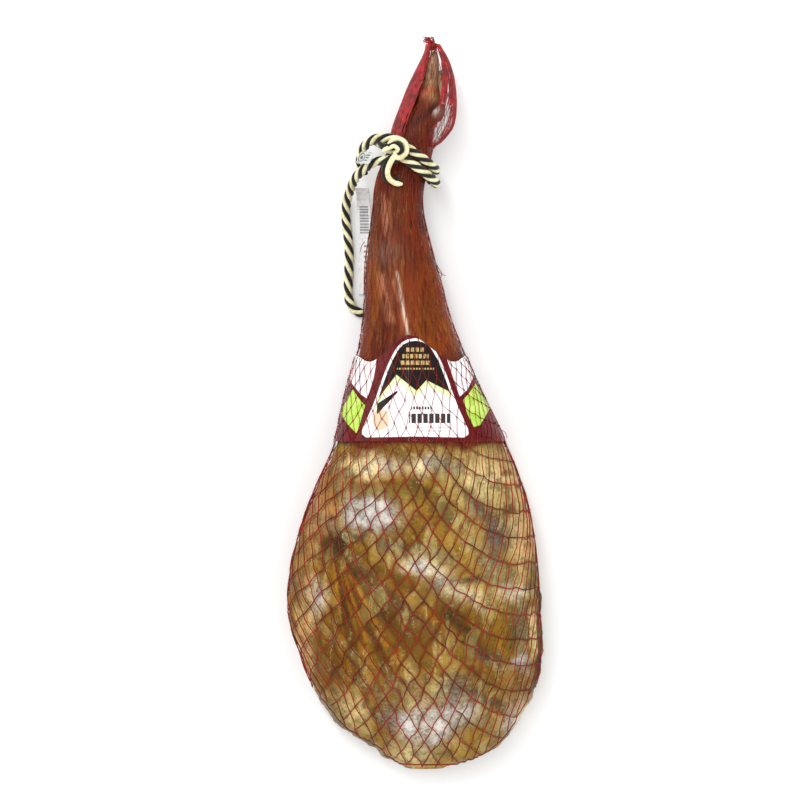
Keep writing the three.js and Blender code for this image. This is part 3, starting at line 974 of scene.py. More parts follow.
def on_net(turn, y, lift):
    """A point on the net: share of a turn from the front middle, place along, height over it."""
    low = near_mouth(turn, y, np.asarray(lift))
    high = round_the_ham(turn, y, lift)
    return np.where((y < MOUTH_Y)[..., None], low, high)


def round_the_ham(turn, y, lift):
    """A point on the net where it goes all the way round."""
    steps = net_table.shape[1]
    r0, fr = row_and_part(y)
    fr = fr[..., None]
    column = (turn % 1) * steps
    c0 = np.floor(column).astype(int) % steps
    fc = (column - np.floor(column))[..., None]
    c1 = (c0 + 1) % steps
    here = (net_table[r0, c0] * (1 - fc) + net_table[r0, c1] * fc) * (1 - fr)
    here = here + (net_table[r0 + 1, c0] * (1 - fc) + net_table[r0 + 1, c1] * fc) * fr
    centre = centre_at(y)
    away = here - centre
    away = away / np.maximum(np.linalg.norm(away, axis=-1, keepdims=True), 1e-6)
    here = here + away * np.asarray(lift)[..., None]
    return np.stack([here[..., 0], y, np.maximum(here[..., 1], STRING_LOW)], -1)


# ---------------------------------------------------------------- the net's lattice

NET_COLUMNS = 36
CELL_SIDE = 14.0          # string between two knots
STRING_CELLS = 60         # more cells than any string runs through
SLIP = 0.10               # how far a knot slips round, in cells


def lattice_fields():
    """Places along the net from its top, and how many cells it has run by each of them."""
    y = wrap_y[::-1]
    width = np.where(y < MOUTH_Y, net_length[mouth_row], net_length[::-1]) / NET_COLUMNS
    cell = 2 * np.sqrt(np.maximum(CELL_SIDE ** 2 - (width / 2) ** 2, 6.0 ** 2))
    run = np.concatenate([[0], np.cumsum((y[:-1] - y[1:]) * 2 / (cell[:-1] + cell[1:]))])
    return y, run


lattice_y, lattice_run = lattice_fields()


def skew(turn):
    a = turn * TAU
    return 4.4 * (1 - np.cos(a)) + 1.5 * np.sin(a) - 0.66 * np.sin(2 * a)


def place_along(run, turn):
    """Where along the ham a string is after so many cells, at a share of a turn."""
    low = np.full(run.shape, wrap_y[0])
    high = np.full(run.shape, TOP_Y)
    lean = skew(turn)
    for _ in range(26):
        middle = (low + high) / 2
        reached = np.interp(-middle, -lattice_y, lattice_run)
        reached = reached + lean * (1 - smoothstep(-70, 130, middle))
        too_low = reached > run
        low = np.where(too_low, middle, low)
        high = np.where(too_low, high, middle)
    return (low + high) / 2


def net_string(start, direction, step):
    """One string of the net from its top to its mouth, going round one way."""
    run = np.arange(0, STRING_CELLS, step)
    turn = (start + direction * run) / NET_COLUMNS
    return turn, place_along(run, turn), run


def loosened(turn, y):
    """Small slips of the knots, the same for every string that passes there."""
    angle = turn * TAU
    slack = smoothstep(190, 40, y)
    spot = np.stack([9 * np.cos(angle), y / 14, 9 * np.sin(angle)], -1)
    turn = turn + slack * 2 * SLIP / NET_COLUMNS * noise(spot, 0.8, 51)
    y = y + slack * 1.9 * noise(spot, 0.8, 52)
    # The net is bunched towards the left where it stands off the foot.
    bunch = smoothstep(225, 262, y) * 0.135
    turn = turn - bunch * np.sin((turn - 0.80) * TAU)
    return turn, y


def lattice_places(points):
    """Where each point of the ham is in the net, counted in cells both ways."""
    looped = np.concatenate([points, points[:, :1]], 1)
    run = np.cumsum(np.linalg.norm(np.diff(looped, axis=1), axis=-1), axis=1)
    turn = np.concatenate([np.zeros((len(points), 1)), run[:, :-1]], 1) / run[:, -1:]
    y = points[..., 1]
    slipped_turn, slipped_y = loosened(turn, y)
    turn, y = 2 * turn - slipped_turn, 2 * y - slipped_y
    # Below the mouth's level the place across says which string is near.
    steps = np.arange(len(mouth_x)) / len(mouth_x)
    top = is_upper(steps)
    top_turn = np.where(steps > 0.5, steps - 1, steps)[top]
    order = np.argsort(mouth_x[top])
    by_x = np.interp(points[..., 0], mouth_x[top][order], top_turn[order])
    turn = np.where(turn > 0.5, turn - 1, turn)
    turn = np.where((points[..., 1] < MOUTH_Y) & (np.abs(turn) < 0.27), by_x, turn)
    cells = np.interp(-y, -lattice_y, lattice_run)
    cells = cells + skew(turn) * (1 - smoothstep(-70, 130, y))
    return NET_COLUMNS * turn - cells, NET_COLUMNS * turn + cells


def string_paths(direction, seed):
    rng = np.random.default_rng(seed)
    paths = []
    for start in range(NET_COLUMNS):
        turn, y, run = net_string(start, direction, 1 / 6)
        there = string_is_there(turn, y) & (y > NET_LOW_Y + 1)
        turn, y = loosened(turn, y)
        lift = 0.45 + 0.12 * direction * np.cos(run * TAU) + 0.12 * rng.standard_normal()
        thick = 0.54 - 0.30 * smoothstep(-85, -20, y) - 0.04 * smoothstep(20, 90, y)
        thick += 0.05 * noise(np.stack([turn * 40, y / 20, 0 * y], -1), 1.0, seed)
        path = on_net(turn, y, lift)
        for piece in np.split(np.arange(len(y)), np.flatnonzero(np.diff(there)) + 1):
            if there[piece[0]] and len(piece) > 1:
                paths.append((path[piece], thick[piece]))
    return paths


def path_mesh(name, paths):
    """Edges along every path, with each point's string radius."""
    points, edges, radii, start = [], [], [], 0
    for path, radius in paths:
        count = len(path)
        points.append(path)
        radii.append(np.broadcast_to(radius, (count,)))
        k = np.arange(start, start + count - 1)
        edges.append(np.stack([k, k + 1], -1))
        start += count
    piece = mesh_object(name, np.concatenate(points), edges=np.concatenate(edges).tolist())
    paint(piece, "string_radius", np.concatenate(radii) * MM)
    return piece


def new_growth(name, size_name):
    """A geometry tree with a size and a material as inputs, and each place's own size."""
    tree = bpy.data.node_groups.new(name, "GeometryNodeTree")
    for label, kind in (("Geometry", "Geometry"), (size_name, "Float"), ("Material", "Material")):
        tree.interface.new_socket(label, in_out="INPUT", socket_type="NodeSocket" + kind)
    tree.interface.new_socket("Geometry", in_out="OUTPUT", socket_type="NodeSocketGeometry")
    given = tree.nodes.new("NodeGroupInput")
    radius = add(tree, "GeometryNodeInputNamedAttribute", {"data_type": "FLOAT"},
                 Name="string_radius")
    return tree, given.outputs, times(radius.outputs["Attribute"], given.outputs[size_name])


def end_growth(tree, given, geometry):
    """Ends a geometry tree: real, smooth and in its material."""
    whole = add(tree, "GeometryNodeRealizeInstances", Geometry=geometry)
    shade = add(tree, "GeometryNodeSetShadeSmooth", Geometry=whole.outputs[0])
    dressed = add(tree, "GeometryNodeSetMaterial", Geometry=shade.outputs[0],
                  Material=given["Material"])
    put(tree.nodes.new("NodeGroupOutput").inputs[0], dressed.outputs[0])
    return tree


def tube_tree(sides):
    """Geometry nodes that turn edges into round strings."""
    tree, given, thickness = new_growth("strings", "Thickness")
    curve = add(tree, "GeometryNodeMeshToCurve", Mesh=given["Geometry"])
    circle = add(tree, "GeometryNodeCurvePrimitiveCircle", Resolution=sides, Radius=1.0)
    tube = add(tree, "GeometryNodeCurveToMesh", Curve=curve.outputs[0], Scale=thickness,
               Profile_Curve=circle.outputs["Curve"], Fill_Caps=True)
    return end_growth(tree, given, tube.outputs[0])


def knot_tree():
    """Geometry nodes that put a small pulled knot on every point."""
    tree, given, size = new_growth("knots", "Size")
    bead = add(tree, "GeometryNodeMeshIcoSphere", Radius=1.0, Subdivisions=1)
    turn = add(tree, "FunctionNodeRandomValue", {"data_type": "FLOAT_VECTOR"}, Seed=4)
    turn.inputs["Min"].default_value = (0, 0, 0)
    turn.inputs["Max"].default_value = (TAU, TAU, TAU)
    points = add(tree, "GeometryNodeMeshToPoints", Mesh=given["Geometry"])
    beads = add(tree, "GeometryNodeInstanceOnPoints", Points=points.outputs[0],
                Instance=bead.outputs[0], Rotation=turn.outputs[0], Scale=size)
    return end_growth(tree, given, beads.outputs[0])


def grown(name, seedling, tree, **inputs):
    """The mesh that a node tree makes of a piece, as a plain piece of its own."""
    modifier = seedling.modifiers.new("grow", "NODES")
    modifier.node_group = tree
    for item in tree.interface.items_tree:
        if item.item_type == "SOCKET" and item.in_out == "INPUT" and item.name in inputs:
            modifier[item.identifier] = inputs[item.name]
    depsgraph = bpy.context.evaluated_depsgraph_get()
    mesh = bpy.data.meshes.new_from_object(seedling.evaluated_get(depsgraph), depsgraph=depsgraph)
    seedling.modifiers.remove(modifier)
    bpy.data.objects.remove(seedling)
    mesh.name = name
    return shown(name, mesh)


def string_finish(name, patch_scale, detail, rough, dark, light):
    """Red string in patches of two reds: material, tree, shader and colour."""
    material, tree, shader = new_material(name)
    patchy = grain(stretched(tree, (1, 1, 1)), patch_scale, detail, rough)
    fibre = grain(stretched(tree, (1500, 1500, 1500)), 1.0, 3, 0.6)
    bumps(shader, (fibre, 0.4, 0.2))
    return material, tree, shader, blend(between(patchy, 0.35, 0.65), dark, light)


def string_material():
    material, tree, shader, colour = string_finish(
        "red_net_string", 40, 3, 0.5, linear(86, 11, 6), linear(142, 32, 12))
    worn = between(grain(stretched(tree, (1, 1, 1)), 600, 4, 0.6), 0.5, 0.7)
    dress(shader, blend(times(worn, 0.3), colour, linear(196, 92, 50)), 0.48, 0.2)
    return material


def gathered_material():
    """The same string where it is bunched: clean, and a brighter red."""
    material, _, shader, colour = string_finish(
        "bunched_net_string", 160, 4, 0.6, linear(104, 4, 7), linear(172, 14, 20))
    dress(shader, colour, 0.45)
    return material


def loose_string(points, radius=0.42):
    """A rounded path through a few given points."""
    return catmull(points, 6), radius


def catmull(points, per_span):
    """A smooth line through some points."""
    points = np.asarray(points, float)
    wide = np.vstack([2 * points[0] - points[1], points, 2 * points[-1] - points[-2]])
    t = np.linspace(0, 1, per_span, endpoint=False)[:, None]
    out = []
    for k in range(1, len(wide) - 2):
        a, b, c, d = wide[k - 1:k + 3]
        out.append(0.5 * (2 * b + (c - a) * t + (2 * a - 5 * b + 4 * c - d) * t ** 2
                          + (3 * b - a - 3 * c + d) * t ** 3))
    return np.vstack(out + [points[-1:]])


def hem_paths():
    """The hem: doubled string round the net's mouth, along the lower outline and underneath."""
    rows = np.arange(2, mouth_row)
    y = wrap_y[rows]
    left, right = row_edges[rows, 0] + MOUTH_INSET, row_edges[rows, 1] - MOUTH_INSET
    open_rows = left < right
    y, left, right = y[open_rows], left[open_rows], right[open_rows]
    low_x = np.linspace(left[12], right[12], 60)
    low_y = np.array([y[(left < at) & (right > at)].min() for at in low_x[1:-1]])
    low_y = np.concatenate([y[12:13], np.minimum(low_y, y[12]), y[12:13]])
    x = np.concatenate([left[:12:-1], low_x, right[13:]])
    y = np.concatenate([y[:12:-1], low_y, y[13:]])
    scallop = 0.9 * np.sin(np.arange(len(x)) * 1.3)
    paths = []
    for lift, radius, shift in ((0.3, 0.34, 0.0), (0.5, 0.30, 0.8)):
        front = place_across(x + scallop * 0.5, y + shift, np.full(len(x), True), lift)
        paths.append((catmull(front, 3), radius))
        turn = np.linspace(mouth_turns[0] - 0.01, mouth_turns[1] + 0.01, 90)
        behind = round_the_ham(turn, MOUTH_Y + shift + 0.8 * np.sin(turn * 90), lift + 0 * turn)
        paths.append((behind, radius))
    return paths


GATHER_Y = 238            # the bunches start here
# Bunches of string: the turn that they crowd at, the turn they thin out to, how many, radius.
BUNCHES = (
    (0.73, 0.92, 200, 0.34), (0.60, 0.75, 70, 0.34), (0.24, 0.13, 70, 0.12),
    (0.08, 0.14, 28, 0.05), (0.26, 0.34, 26, 0.22),
)


def gathered_paths():
    """Strings bunched along the left of the foot, and drawn together above the hoof."""
    rng = np.random.default_rng(8)
    paths = []
    y = np.linspace(GATHER_Y, TOP_Y, 24)
    for low, high, count, radius in BUNCHES:
        for _ in range(count):
            turn = low + (high - low) * rng.uniform() ** 1.7
            turn = turn + 0.009 * np.sin(y / 10 + rng.uniform(0, 6))
            thick = radius + 0.22 * smoothstep(264, 290, y) * (radius < 0.3)
            paths.append((on_net(turn, y, 0.1 + 0.8 * rng.uniform() + 0 * y), thick))
    return paths


TUFT_TOP_Y = 340.0


def tuft_paths():
    """The knotted tuft: string ends above the drawn-up net, leaning to the left."""
    rng = np.random.default_rng(9)
    base = on_net(np.array([0.0, 0.5]), np.array([TOP_Y, TOP_Y]), np.array([0.0, 0.0])).mean(0)
    paths = []
    for _ in range(34):
        spread = rng.uniform(-1, 1, 3) * (3.2, 1.5, 3.0)
        tip = base + np.array([-4.5, 6.0, 0.0]) + rng.uniform(-1, 1, 3) * (5.0, 4.0, 4.0)
        tip[1] = min(tip[1], TUFT_TOP_Y)
        middle = (base + tip) / 2 + rng.uniform(-1, 1, 3) * 2.2
        paths.append(loose_string([base - (0, 5, 0) + spread, base + spread * 0.4, middle, tip], 0.38))
    for k in range(3):
        a = np.linspace(0, TAU, 28)
        loop = np.stack([3.6 * np.cos(a), k * 1.1 + 0.5 * np.sin(2 * a), 3.4 * np.sin(a)], -1)
        paths.append((base + (0, -2.0, 0) + loop, 0.6))
    return paths


def stray_paths():
    return [loose_string(points, 0.3) for points in (
        [(21, 128, 50), (23, 124, 52), (25.5, 120, 52), (24, 115, 51)],
        [(22, 122, 52), (26, 119, 53), (29, 118, 52)],
        [(-46, 150, 40), (-49, 146, 40), (-50, 141, 38)],
        [(79, -24, 52), (84, -27, 52), (86, -32, 50)],
    )]


STRING_SIDES = 6
KNOTS_TOP_Y = 190         # no knots are made above this


def make_net():
    strings = string_material()
    right = string_paths(1, 61)
    left = string_paths(-1, 62)
    for name, paths, finish in (
            ("net_right_hand", right + stray_paths(), strings),
            ("net_left_hand", left + hem_paths(), strings),
            ("net_gathered_top", gathered_paths() + tuft_paths(), gathered_material())):
        seedling = path_mesh(name + "_paths", paths)
        piece = grown(name, seedling, tube_tree(STRING_SIDES), Thickness=1.0, Material=finish)
        finished(piece, ["net"], finish)
    knots, sizes = [], []
    for start in range(NET_COLUMNS):
        turn, y, _ = net_string(start, 1, 0.5)
        body = (y < KNOTS_TOP_Y) & string_is_there(turn, y) & (y > NET_LOW_Y + 1)
        turn, y = loosened(turn, y)
        knots.append(on_net(turn[body], y[body], 0.5 + 0 * y[body]))
        sizes.append(0.85 - 0.35 * smoothstep(0, KNOTS_TOP_Y, y[body]))
    seedling = mesh_object("net_knot_places", np.concatenate(knots))
    paint(seedling, "string_radius", np.concatenate(sizes) * MM)
    piece = grown("net_knots", seedling, knot_tree(), Size=1.0, Material=strings)
    finished(piece, ["net"], strings)


# ---------------------------------------------------------------- the rope

LEG_MIDDLE = (-8.5, 42.0)             # x and z, where the rope goes round
WINDING_RADII = (28.6, 27.2)
WINDING_DEGREES = (116, -442, -12)    # first, last and step
ROPE_STEP = 1.7
STRANDS = 4
STRAND_RADIUS = 1.9
STRAND_OFFSET = 2.5                   # from the rope's middle
STRAND_LAY = 30                       # length of rope in which a strand goes once round
FREE_ROUTE = [
    (-9, 218, 14.6), (-17, 216, 14.6), (-23.5, 211, 14.6), (-28, 204, 14.2), (-30.3, 195, 12.6),
    (-30, 184, 9.5), (-28.5, 171, 6.2), (-27, 156, 4.6), (-25, 140, 4.4), (-24, 124, 4.4),
    (-24, 110, 4.4), (-24.6, 101.5, 4.4), (-27, 94.4, 4.4), (-31.2, 88.6, 4.4),
    (-37.2, 84.9, 4.4), (-44, 83.6, 4.4), (-51, 85, 4.4), (-57, 89.3, 4.4), (-60.8, 96, 4.4),
    (-62.2, 104, 4.4), (-62, 113, 4.4), (-61.5, 126, 4.4), (-61.2, 141, 4.4), (-62.2, 156, 4.4),
    (-63.8, 170, 5.2), (-64, 182, 8.5),
    (-62.5, 192, 15), (-60, 198, 22.5),
]
KNOT_ROUTE = [
    (-57.5, 204, 33), (-53, 211, 46), (-45, 217.5, 58), (-34, 222.5, 67), (-23, 223.5, 73),
    (-14, 226, 76), (-9.5, 233, 75), (-14, 240.5, 73), (-24, 244, 70), (-35, 244, 63),
    (-44, 240, 53), (-49, 232, 44), (-50, 222, 38), (-47, 213, 34),
]


def rope_route():
    """Knot, two turns round the leg, the free loop below it, and back into the knot."""
    turns = np.radians(np.arange(*WINDING_DEGREES))
    share = (np.pi / 2 - turns) / TAU
    x = LEG_MIDDLE[0] + WINDING_RADII[0] * np.cos(turns)
    z = LEG_MIDDLE[1] + WINDING_RADII[1] * np.sin(turns)
    slope = 0.60 * (1 - 0.9 * smoothstep(1.25, 1.62, share))
    y = 236.5 - 12.0 * share - slope * (x - LEG_MIDDLE[0])
    wraps = np.stack([x, y, z], -1)
    return np.vstack([wraps, FREE_ROUTE, KNOT_ROUTE])


def even_path(points, spacing):
    """A smooth line in even steps, and the length run at each of its points."""
    fine = catmull(points, 14)
    run = np.concatenate([[0], np.cumsum(np.linalg.norm(np.diff(fine, axis=0), axis=1))])
    at = np.linspace(0, run[-1], int(run[-1] / spacing) + 1)
    return np.stack([np.interp(at, run, fine[:, k]) for k in range(3)], -1), at


def carried_frames(path):
    """Two directions square to a path at each point, turning no more than they must."""
    run = np.gradient(path, axis=0)
    run /= np.linalg.norm(run, axis=1, keepdims=True)
    side = np.empty_like(path)
    first = np.cross(run[0], (0.0, 0.0, 1.0))
    side[0] = first / np.linalg.norm(first)
    for k in range(1, len(path)):
        v = side[k - 1] - run[k] * (side[k - 1] @ run[k])
        side[k] = v / np.linalg.norm(v)
    return side, np.cross(run, side)


def tube_grid(path, radius, sides):
    side, up = carried_frames(path)
    a = -np.arange(sides) / sides * TAU
    radius = np.broadcast_to(radius, (len(path),))[:, None, None]
    return (path[:, None] + radius * (side[:, None] * np.cos(a)[None, :, None]
                                      + up[:, None] * np.sin(a)[None, :, None]))


def merged_tubes(name, tubes):
    """One piece from several tubes: (grid, tint, length along it at each ring)."""
    points, faces, tints, lengths, start = [], [], [], [], 0
    for grid, tint, run in tubes:
        rows, columns = grid.shape[:2]
        points.append(grid.reshape(-1, 3))
        faces += capped_tube_faces(rows, columns, start)
        tints.append(np.full(rows * columns, float(tint)))
        lengths.append(np.repeat(run, columns))
        start += rows * columns
    piece = mesh_object(name, np.concatenate(points), faces)
    face_outward(piece)
    smooth(piece)
    paint(piece, "tint", np.concatenate(tints))
    paint(piece, "run", np.concatenate(lengths))
    return piece


def rope_material():
    material, tree, shader = new_material("black_and_cream_rope")
    even = stretched(tree, (1, 1, 1))
    fibres = grain(even, 900, 5, 0.7, 0.6)
    soil = grain(even, 130, 4, 0.6)
    cream = blend(between(soil, 0.4, 0.7), linear(238, 231, 190), linear(206, 194, 142))
    cream = blend(times(between(fibres, 0.5, 0.7), 0.4), cream, linear(150, 136, 92))
    black = blend(between(fibres, 0.5, 0.72), linear(14, 13, 12), linear(46, 42, 36))
    dress(shader, blend(painted(tree, "tint"), black, cream), 0.72, 0.3)
    shader.inputs["Sheen Weight"].default_value = 0.15
    lay = maths("SINE", times(painted(tree, "run"), 3.2))
    bumps(shader, (fibres, 0.6, 0.5), (lay, 0.15, 0.3))
    return material


# The knot's loosened strands: points, radius, and 1 for cream or 0 for black.
LOOSE_STRANDS = (
    ([(-20, 226, 79), (-13, 225, 81), (-7.5, 230, 80), (-8, 238, 79), (-14, 242.5, 78),
      (-21, 240, 79), (-25, 234, 79), (-30, 231, 77)], 2.3, 1),
    ([(-17, 229, 80), (-12.5, 230, 81), (-12, 235, 81), (-16, 238, 80.5), (-22, 236.5, 80),
      (-27, 236, 78), (-33, 238, 74)], 2.2, 0),
    ([(-19, 229, 79), (-15, 232, 82), (-19, 235.5, 82), (-24, 232.5, 80)], 2.0, 1),
    ([(-16, 229, 80), (-21, 222.5, 79), (-24.5, 214, 75), (-23.5, 207, 72), (-18, 202.5, 70),
      (-11, 201.5, 68.5)], 2.5, 1),
    ([(-26, 222, 76), (-28, 214, 71), (-27, 207, 67), (-21, 205, 67), (-14, 207, 67.5)], 2.3, 0),
)


def make_rope():
    """The rope, the loosened strands over its knot, and the rope's middle line."""
    path, run = even_path(rope_route(), ROPE_STEP)
    side, up = carried_frames(path)
    tubes = []
    for strand in range(STRANDS):
        a = (strand / STRANDS - run / STRAND_LAY) * TAU
        offset = STRAND_OFFSET * (side * np.cos(a)[:, None] + up * np.sin(a)[:, None])
        tubes.append((tube_grid(path + offset, STRAND_RADIUS, 10), strand % 2, run))
    finish = rope_material()
    rope = finished(merged_tubes("rope", tubes), ["rope_winding", "rope_loop"], finish)
    tubes = []
    for points, radius, tint in LOOSE_STRANDS:
        centre, run = even_path(points, 1.2)
        taper = radius * (0.55 + 0.45 * smoothstep(0, 4, np.minimum(run, run[-1] - run)))
        tubes.append((tube_grid(centre, taper, 12), tint, run))
    strands = merged_tubes("rope_knot_strands", tubes)
    return rope, finished(strands, ["rope_winding"], finish), path


# ---------------------------------------------------------------- the tags

def plate_axes(name):
    """Middle, directions and sizes of a flat packed plate, thinnest first."""
    ends = edge_ends(name).reshape(-1, 3)
    corners = np.unique(np.round(ends, 3), axis=0)
    arms = corners - corners[0]
    lengths = np.linalg.norm(arms, axis=1)
    order = np.argsort(lengths)
    thin, short = arms[order[1]], arms[order[2]]
    long = arms[order[4]]
    if abs(long @ short) > 1 or abs(long @ thin) > 1:
        long = next(arms[k] for k in order[3:] if abs(arms[k] @ short) < 1 and abs(arms[k] @ thin) < 1)
    return corners.mean(0), thin, short, long


SEAL_CORNER = 2.2


def make_seal_tag():
    """A small moulded plate with a raised ring and three plain bars."""
    middle, thin, short, long = plate_axes("seal_tag")
    if thin[2] < 0:
        thin = -thin
    if long[0] < 0:
        long = -long
    if short[1] < 0:
        short = -short
    tallness = np.linalg.norm(thin)
    up, side, upright = (v / np.linalg.norm(v) for v in (thin, long, short))
    half_long, half_short = np.linalg.norm(long) / 2, np.linalg.norm(short) / 2
    outline = np.array([(cx * (half_long - SEAL_CORNER) + SEAL_CORNER * math.cos(start + a),
                         cy * (half_short - SEAL_CORNER) + SEAL_CORNER * math.sin(start + a))
                        for cx, cy, start in ((1, 1, 0), (-1, 1, TAU / 4), (-1, -1, TAU / 2),
                                              (1, -1, TAU * 3 / 4))
                        for a in np.linspace(0, TAU / 4, 7)])
    rings = [(0.94, -0.5), (1.0, -0.3), (1.0, 0.25), (0.95, 0.5), (0.86, 0.5), (0.83, 0.28)]
    points = [np.column_stack([outline * scale, np.full(len(outline), height * tallness)])
              for scale, height in rings]
    grid = np.array(points)[:, ::-1]
    rows, columns = grid.shape[:2]
    faces = capped_tube_faces(rows, columns)
    local = [grid.reshape(-1, 3)]

    def raised(rings, hollow=False):
        """A closed block through some rings; a hollow one joins its last ring to its first."""
        block = np.array(rings)
        r, c = block.shape[:2]
        first = sum(len(part) for part in local)
        local.append(block.reshape(-1, 3))
        if hollow:
            last = first + (r - 1) * c
            faces.extend(ring_faces(r, c, first).tolist())
            faces.extend((last + i, last + (i + 1) % c, first + (i + 1) % c, first + i)
                         for i in range(c))
        else:
            faces.extend(capped_tube_faces(r, c, first))

    # A raised ring and a dot on the left of the face, and three plain bars on the right.
    a = -np.arange(28) / 28 * TAU
    level = 0.28 * tallness

    def circle(radius, height):
        return np.stack([-4.2 + radius * np.cos(a), radius * np.sin(a),
                         np.full(len(a), level + height)], -1)

    raised([circle(*spot) for spot in ((4.4, -0.2), (4.3, 0.35), (3.7, 0.35), (3.5, -0.2))], hollow=True)
    raised([circle(*spot) for spot in ((1.8, -0.2), (1.7, 0.35), (0.05, 0.4))])
    for k in range(3):
        y0 = 2.6 - 2.6 * k
        bar = [(1.6, y0 - 0.55), (1.6, y0 + 0.55), (6.6 - k, y0 + 0.55), (6.6 - k, y0 - 0.55)]
        raised([np.column_stack([bar, np.full(4, level + h)]) for h in (-0.2, 0.35)])
    flat = np.concatenate(local)
    world = middle + flat[:, :1] * side + flat[:, 1:2] * upright + flat[:, 2:] * up
    piece = mesh_object("seal_tag_plate", world, faces)
    face_outward(piece)
    smooth(piece)
    piece.data.set_sharp_from_angle(angle=math.radians(35))
    paint(piece, "ink", (np.arange(len(world)) >= rows * columns).astype(float))
    return finished(piece, ["seal_tag"], seal_material())


def seal_material():
    material, tree, shader = new_material("moulded_grey_plastic")
    even = stretched(tree, (1, 1, 1))
    soiled = grain(even, 220, 5, 0.6)
    colour = blend(between(soiled, 0.4, 0.7), linear(206, 207, 204), linear(158, 157, 152))
    colour = blend(painted(tree, "ink"), colour, linear(84, 84, 84))
    dress(shader, colour, evenly(soiled, 0.3, 0.7, 0.32, 0.5))
    bumps(shader, (grain(even, 900, 3, 0.6), 0.2, 0.15))
    return material


STRIP_HALF = 6.4          # half its width
STRIP_ROUTE = [
    (-49, 202, 16), (-48, 195, 9), (-47.5, 186, 3.6), (-47, 176, 1.4), (-46.6, 150, 1.1),
    (-46.4, 125, 1.3), (-46.2, 102, 1.6),
]


def make_strip_tag():
    """A narrow paper strip, a little cupped and waved, with its own UV map in millimetres."""
    centre, run = even_path(STRIP_ROUTE, 1.2)
    across = np.linspace(-STRIP_HALF, STRIP_HALF, 13)
    rows, columns = len(run), len(across)
    across, run = np.broadcast_to(across, (rows, columns)), np.broadcast_to(run[:, None], (rows, columns))
    rise = 0.5 * (across / STRIP_HALF) ** 2 + 0.35 * np.sin(run / 9) * across / STRIP_HALF
    points = centre[:, None] + np.stack([across, 0 * across, rise], -1)
    faces = [(r * columns + i, (r + 1) * columns + i, (r + 1) * columns + i + 1, r * columns + i + 1)
             for r in range(rows - 1) for i in range(columns - 1)]
    piece = mesh_object("strip_tag_paper", points.reshape(-1, 3), faces)
    smooth(piece)
    uv = piece.data.uv_layers.new(name="strip")
    corners = np.empty(len(piece.data.loops), int)
    piece.data.loops.foreach_get("vertex_index", corners)
    uv.data.foreach_set("uv", np.stack([across, run], -1).reshape(-1, 2)[corners].ravel())
    thicken(piece, 0.25, 0)
    return finished(piece, ["strip_tag"], strip_material())


def strip_material():
    """White paper with plain bars: a block of them high up, and a few wide ones low down."""
    material, tree, shader = new_material("strip_paper")
    uv = add(tree, "ShaderNodeUVMap", {"uv_map": "strip"})
    split = add(tree, "ShaderNodeSeparateXYZ", Vector=uv.outputs[0])
    u, v = split.outputs[0], split.outputs[1]

    def bars(spacing, gap):
        return maths("GREATER_THAN", fraction(times(v, spacing)), gap)

    fibre = grain(stretched(tree, (1, 1, 1)), 300, 5, 0.6)
    paper = blend(between(fibre, 0.4, 0.7), linear(250, 250, 249), linear(228, 228, 228))
    block = times(maths("LESS_THAN", size_of(u), 4.2),
                  maths("LESS_THAN", size_of(minus(v, 34)), 13))
    ink = times(block, maths("MAXIMUM", bars(0.36, 0.55), bars(0.83, 0.6)))
    low = times(maths("LESS_THAN", size_of(minus(u, 1.5)), 2.2),
                times(maths("GREATER_THAN", v, 55), bars(0.2, 0.62)))
    ink = times(maths("MAXIMUM", ink, low), 0.72)
    dress(shader, blend(ink, paper, linear(60, 62, 70)), 0.5)
    bumps(shader, (fibre, 0.2, 0.2))
    return material


# ---------------------------------------------------------------- the printed collar

def outline_distance(x, y, corners):
    """Distance from a closed outline, below nothing inside it."""
    corners = np.asarray(corners, float)
    nearest = np.full(x.shape, 1e9)
    inside = np.zeros(x.shape, bool)
    for (x0, y0), (x1, y1) in zip(corners, np.roll(corners, -1, 0)):
        nearest = np.minimum(nearest, from_segment(x, y, x0, y0, x1, y1))
        if y0 != y1:
            crosses = (y0 > y) != (y1 > y)
            inside ^= crosses & (x < (x1 - x0) * (y - y0) / (y1 - y0) + x0)
    return np.where(inside, -nearest, nearest)


# Outlines printed on the collar, seen from the front: half of the arched panel, from its top,
# and the white and green fields on each side of it.
PANEL_SIDE = [
    (0, 59.5), (6.5, 58.5), (12.5, 55.5), (17.5, 50), (22, 42), (26.5, 32), (31, 20), (35, 8),
    (39.5, -4), (44.5, -15), (48.5, -24), (49, -28.5), (45, -31.5), (20, -31), (0, -30.5),
]
PANEL = PANEL_SIDE + [(-x, y) for x, y in reversed(PANEL_SIDE[1:-1])]
WHITE_FIELDS = (
    [(-40, 60), (-34, 48), (-38, 24), (-44, 4), (-50, 8), (-60, 20), (-58, 60)],
    [(22, 60), (26, 50), (34, 26), (41, 6), (48, 12), (54, 24), (60, 60)],
)
GREEN_FIELDS = (
    [(-58, 13), (-51, 3), (-46, -2), (-50, -16), (-54, -28), (-62, -20), (-70, -8)],
    [(56, 18), (49, 8), (44, 3), (48, -10), (54, -22), (60, -20), (70, -4)],
)
PRINT_SHIFT = 0.7         # the print sits this far right of the ham's middle line
FAR = 60.0                # distance painted where there is no print
COLLAR_COLUMNS, COLLAR_ROWS = 420, 86


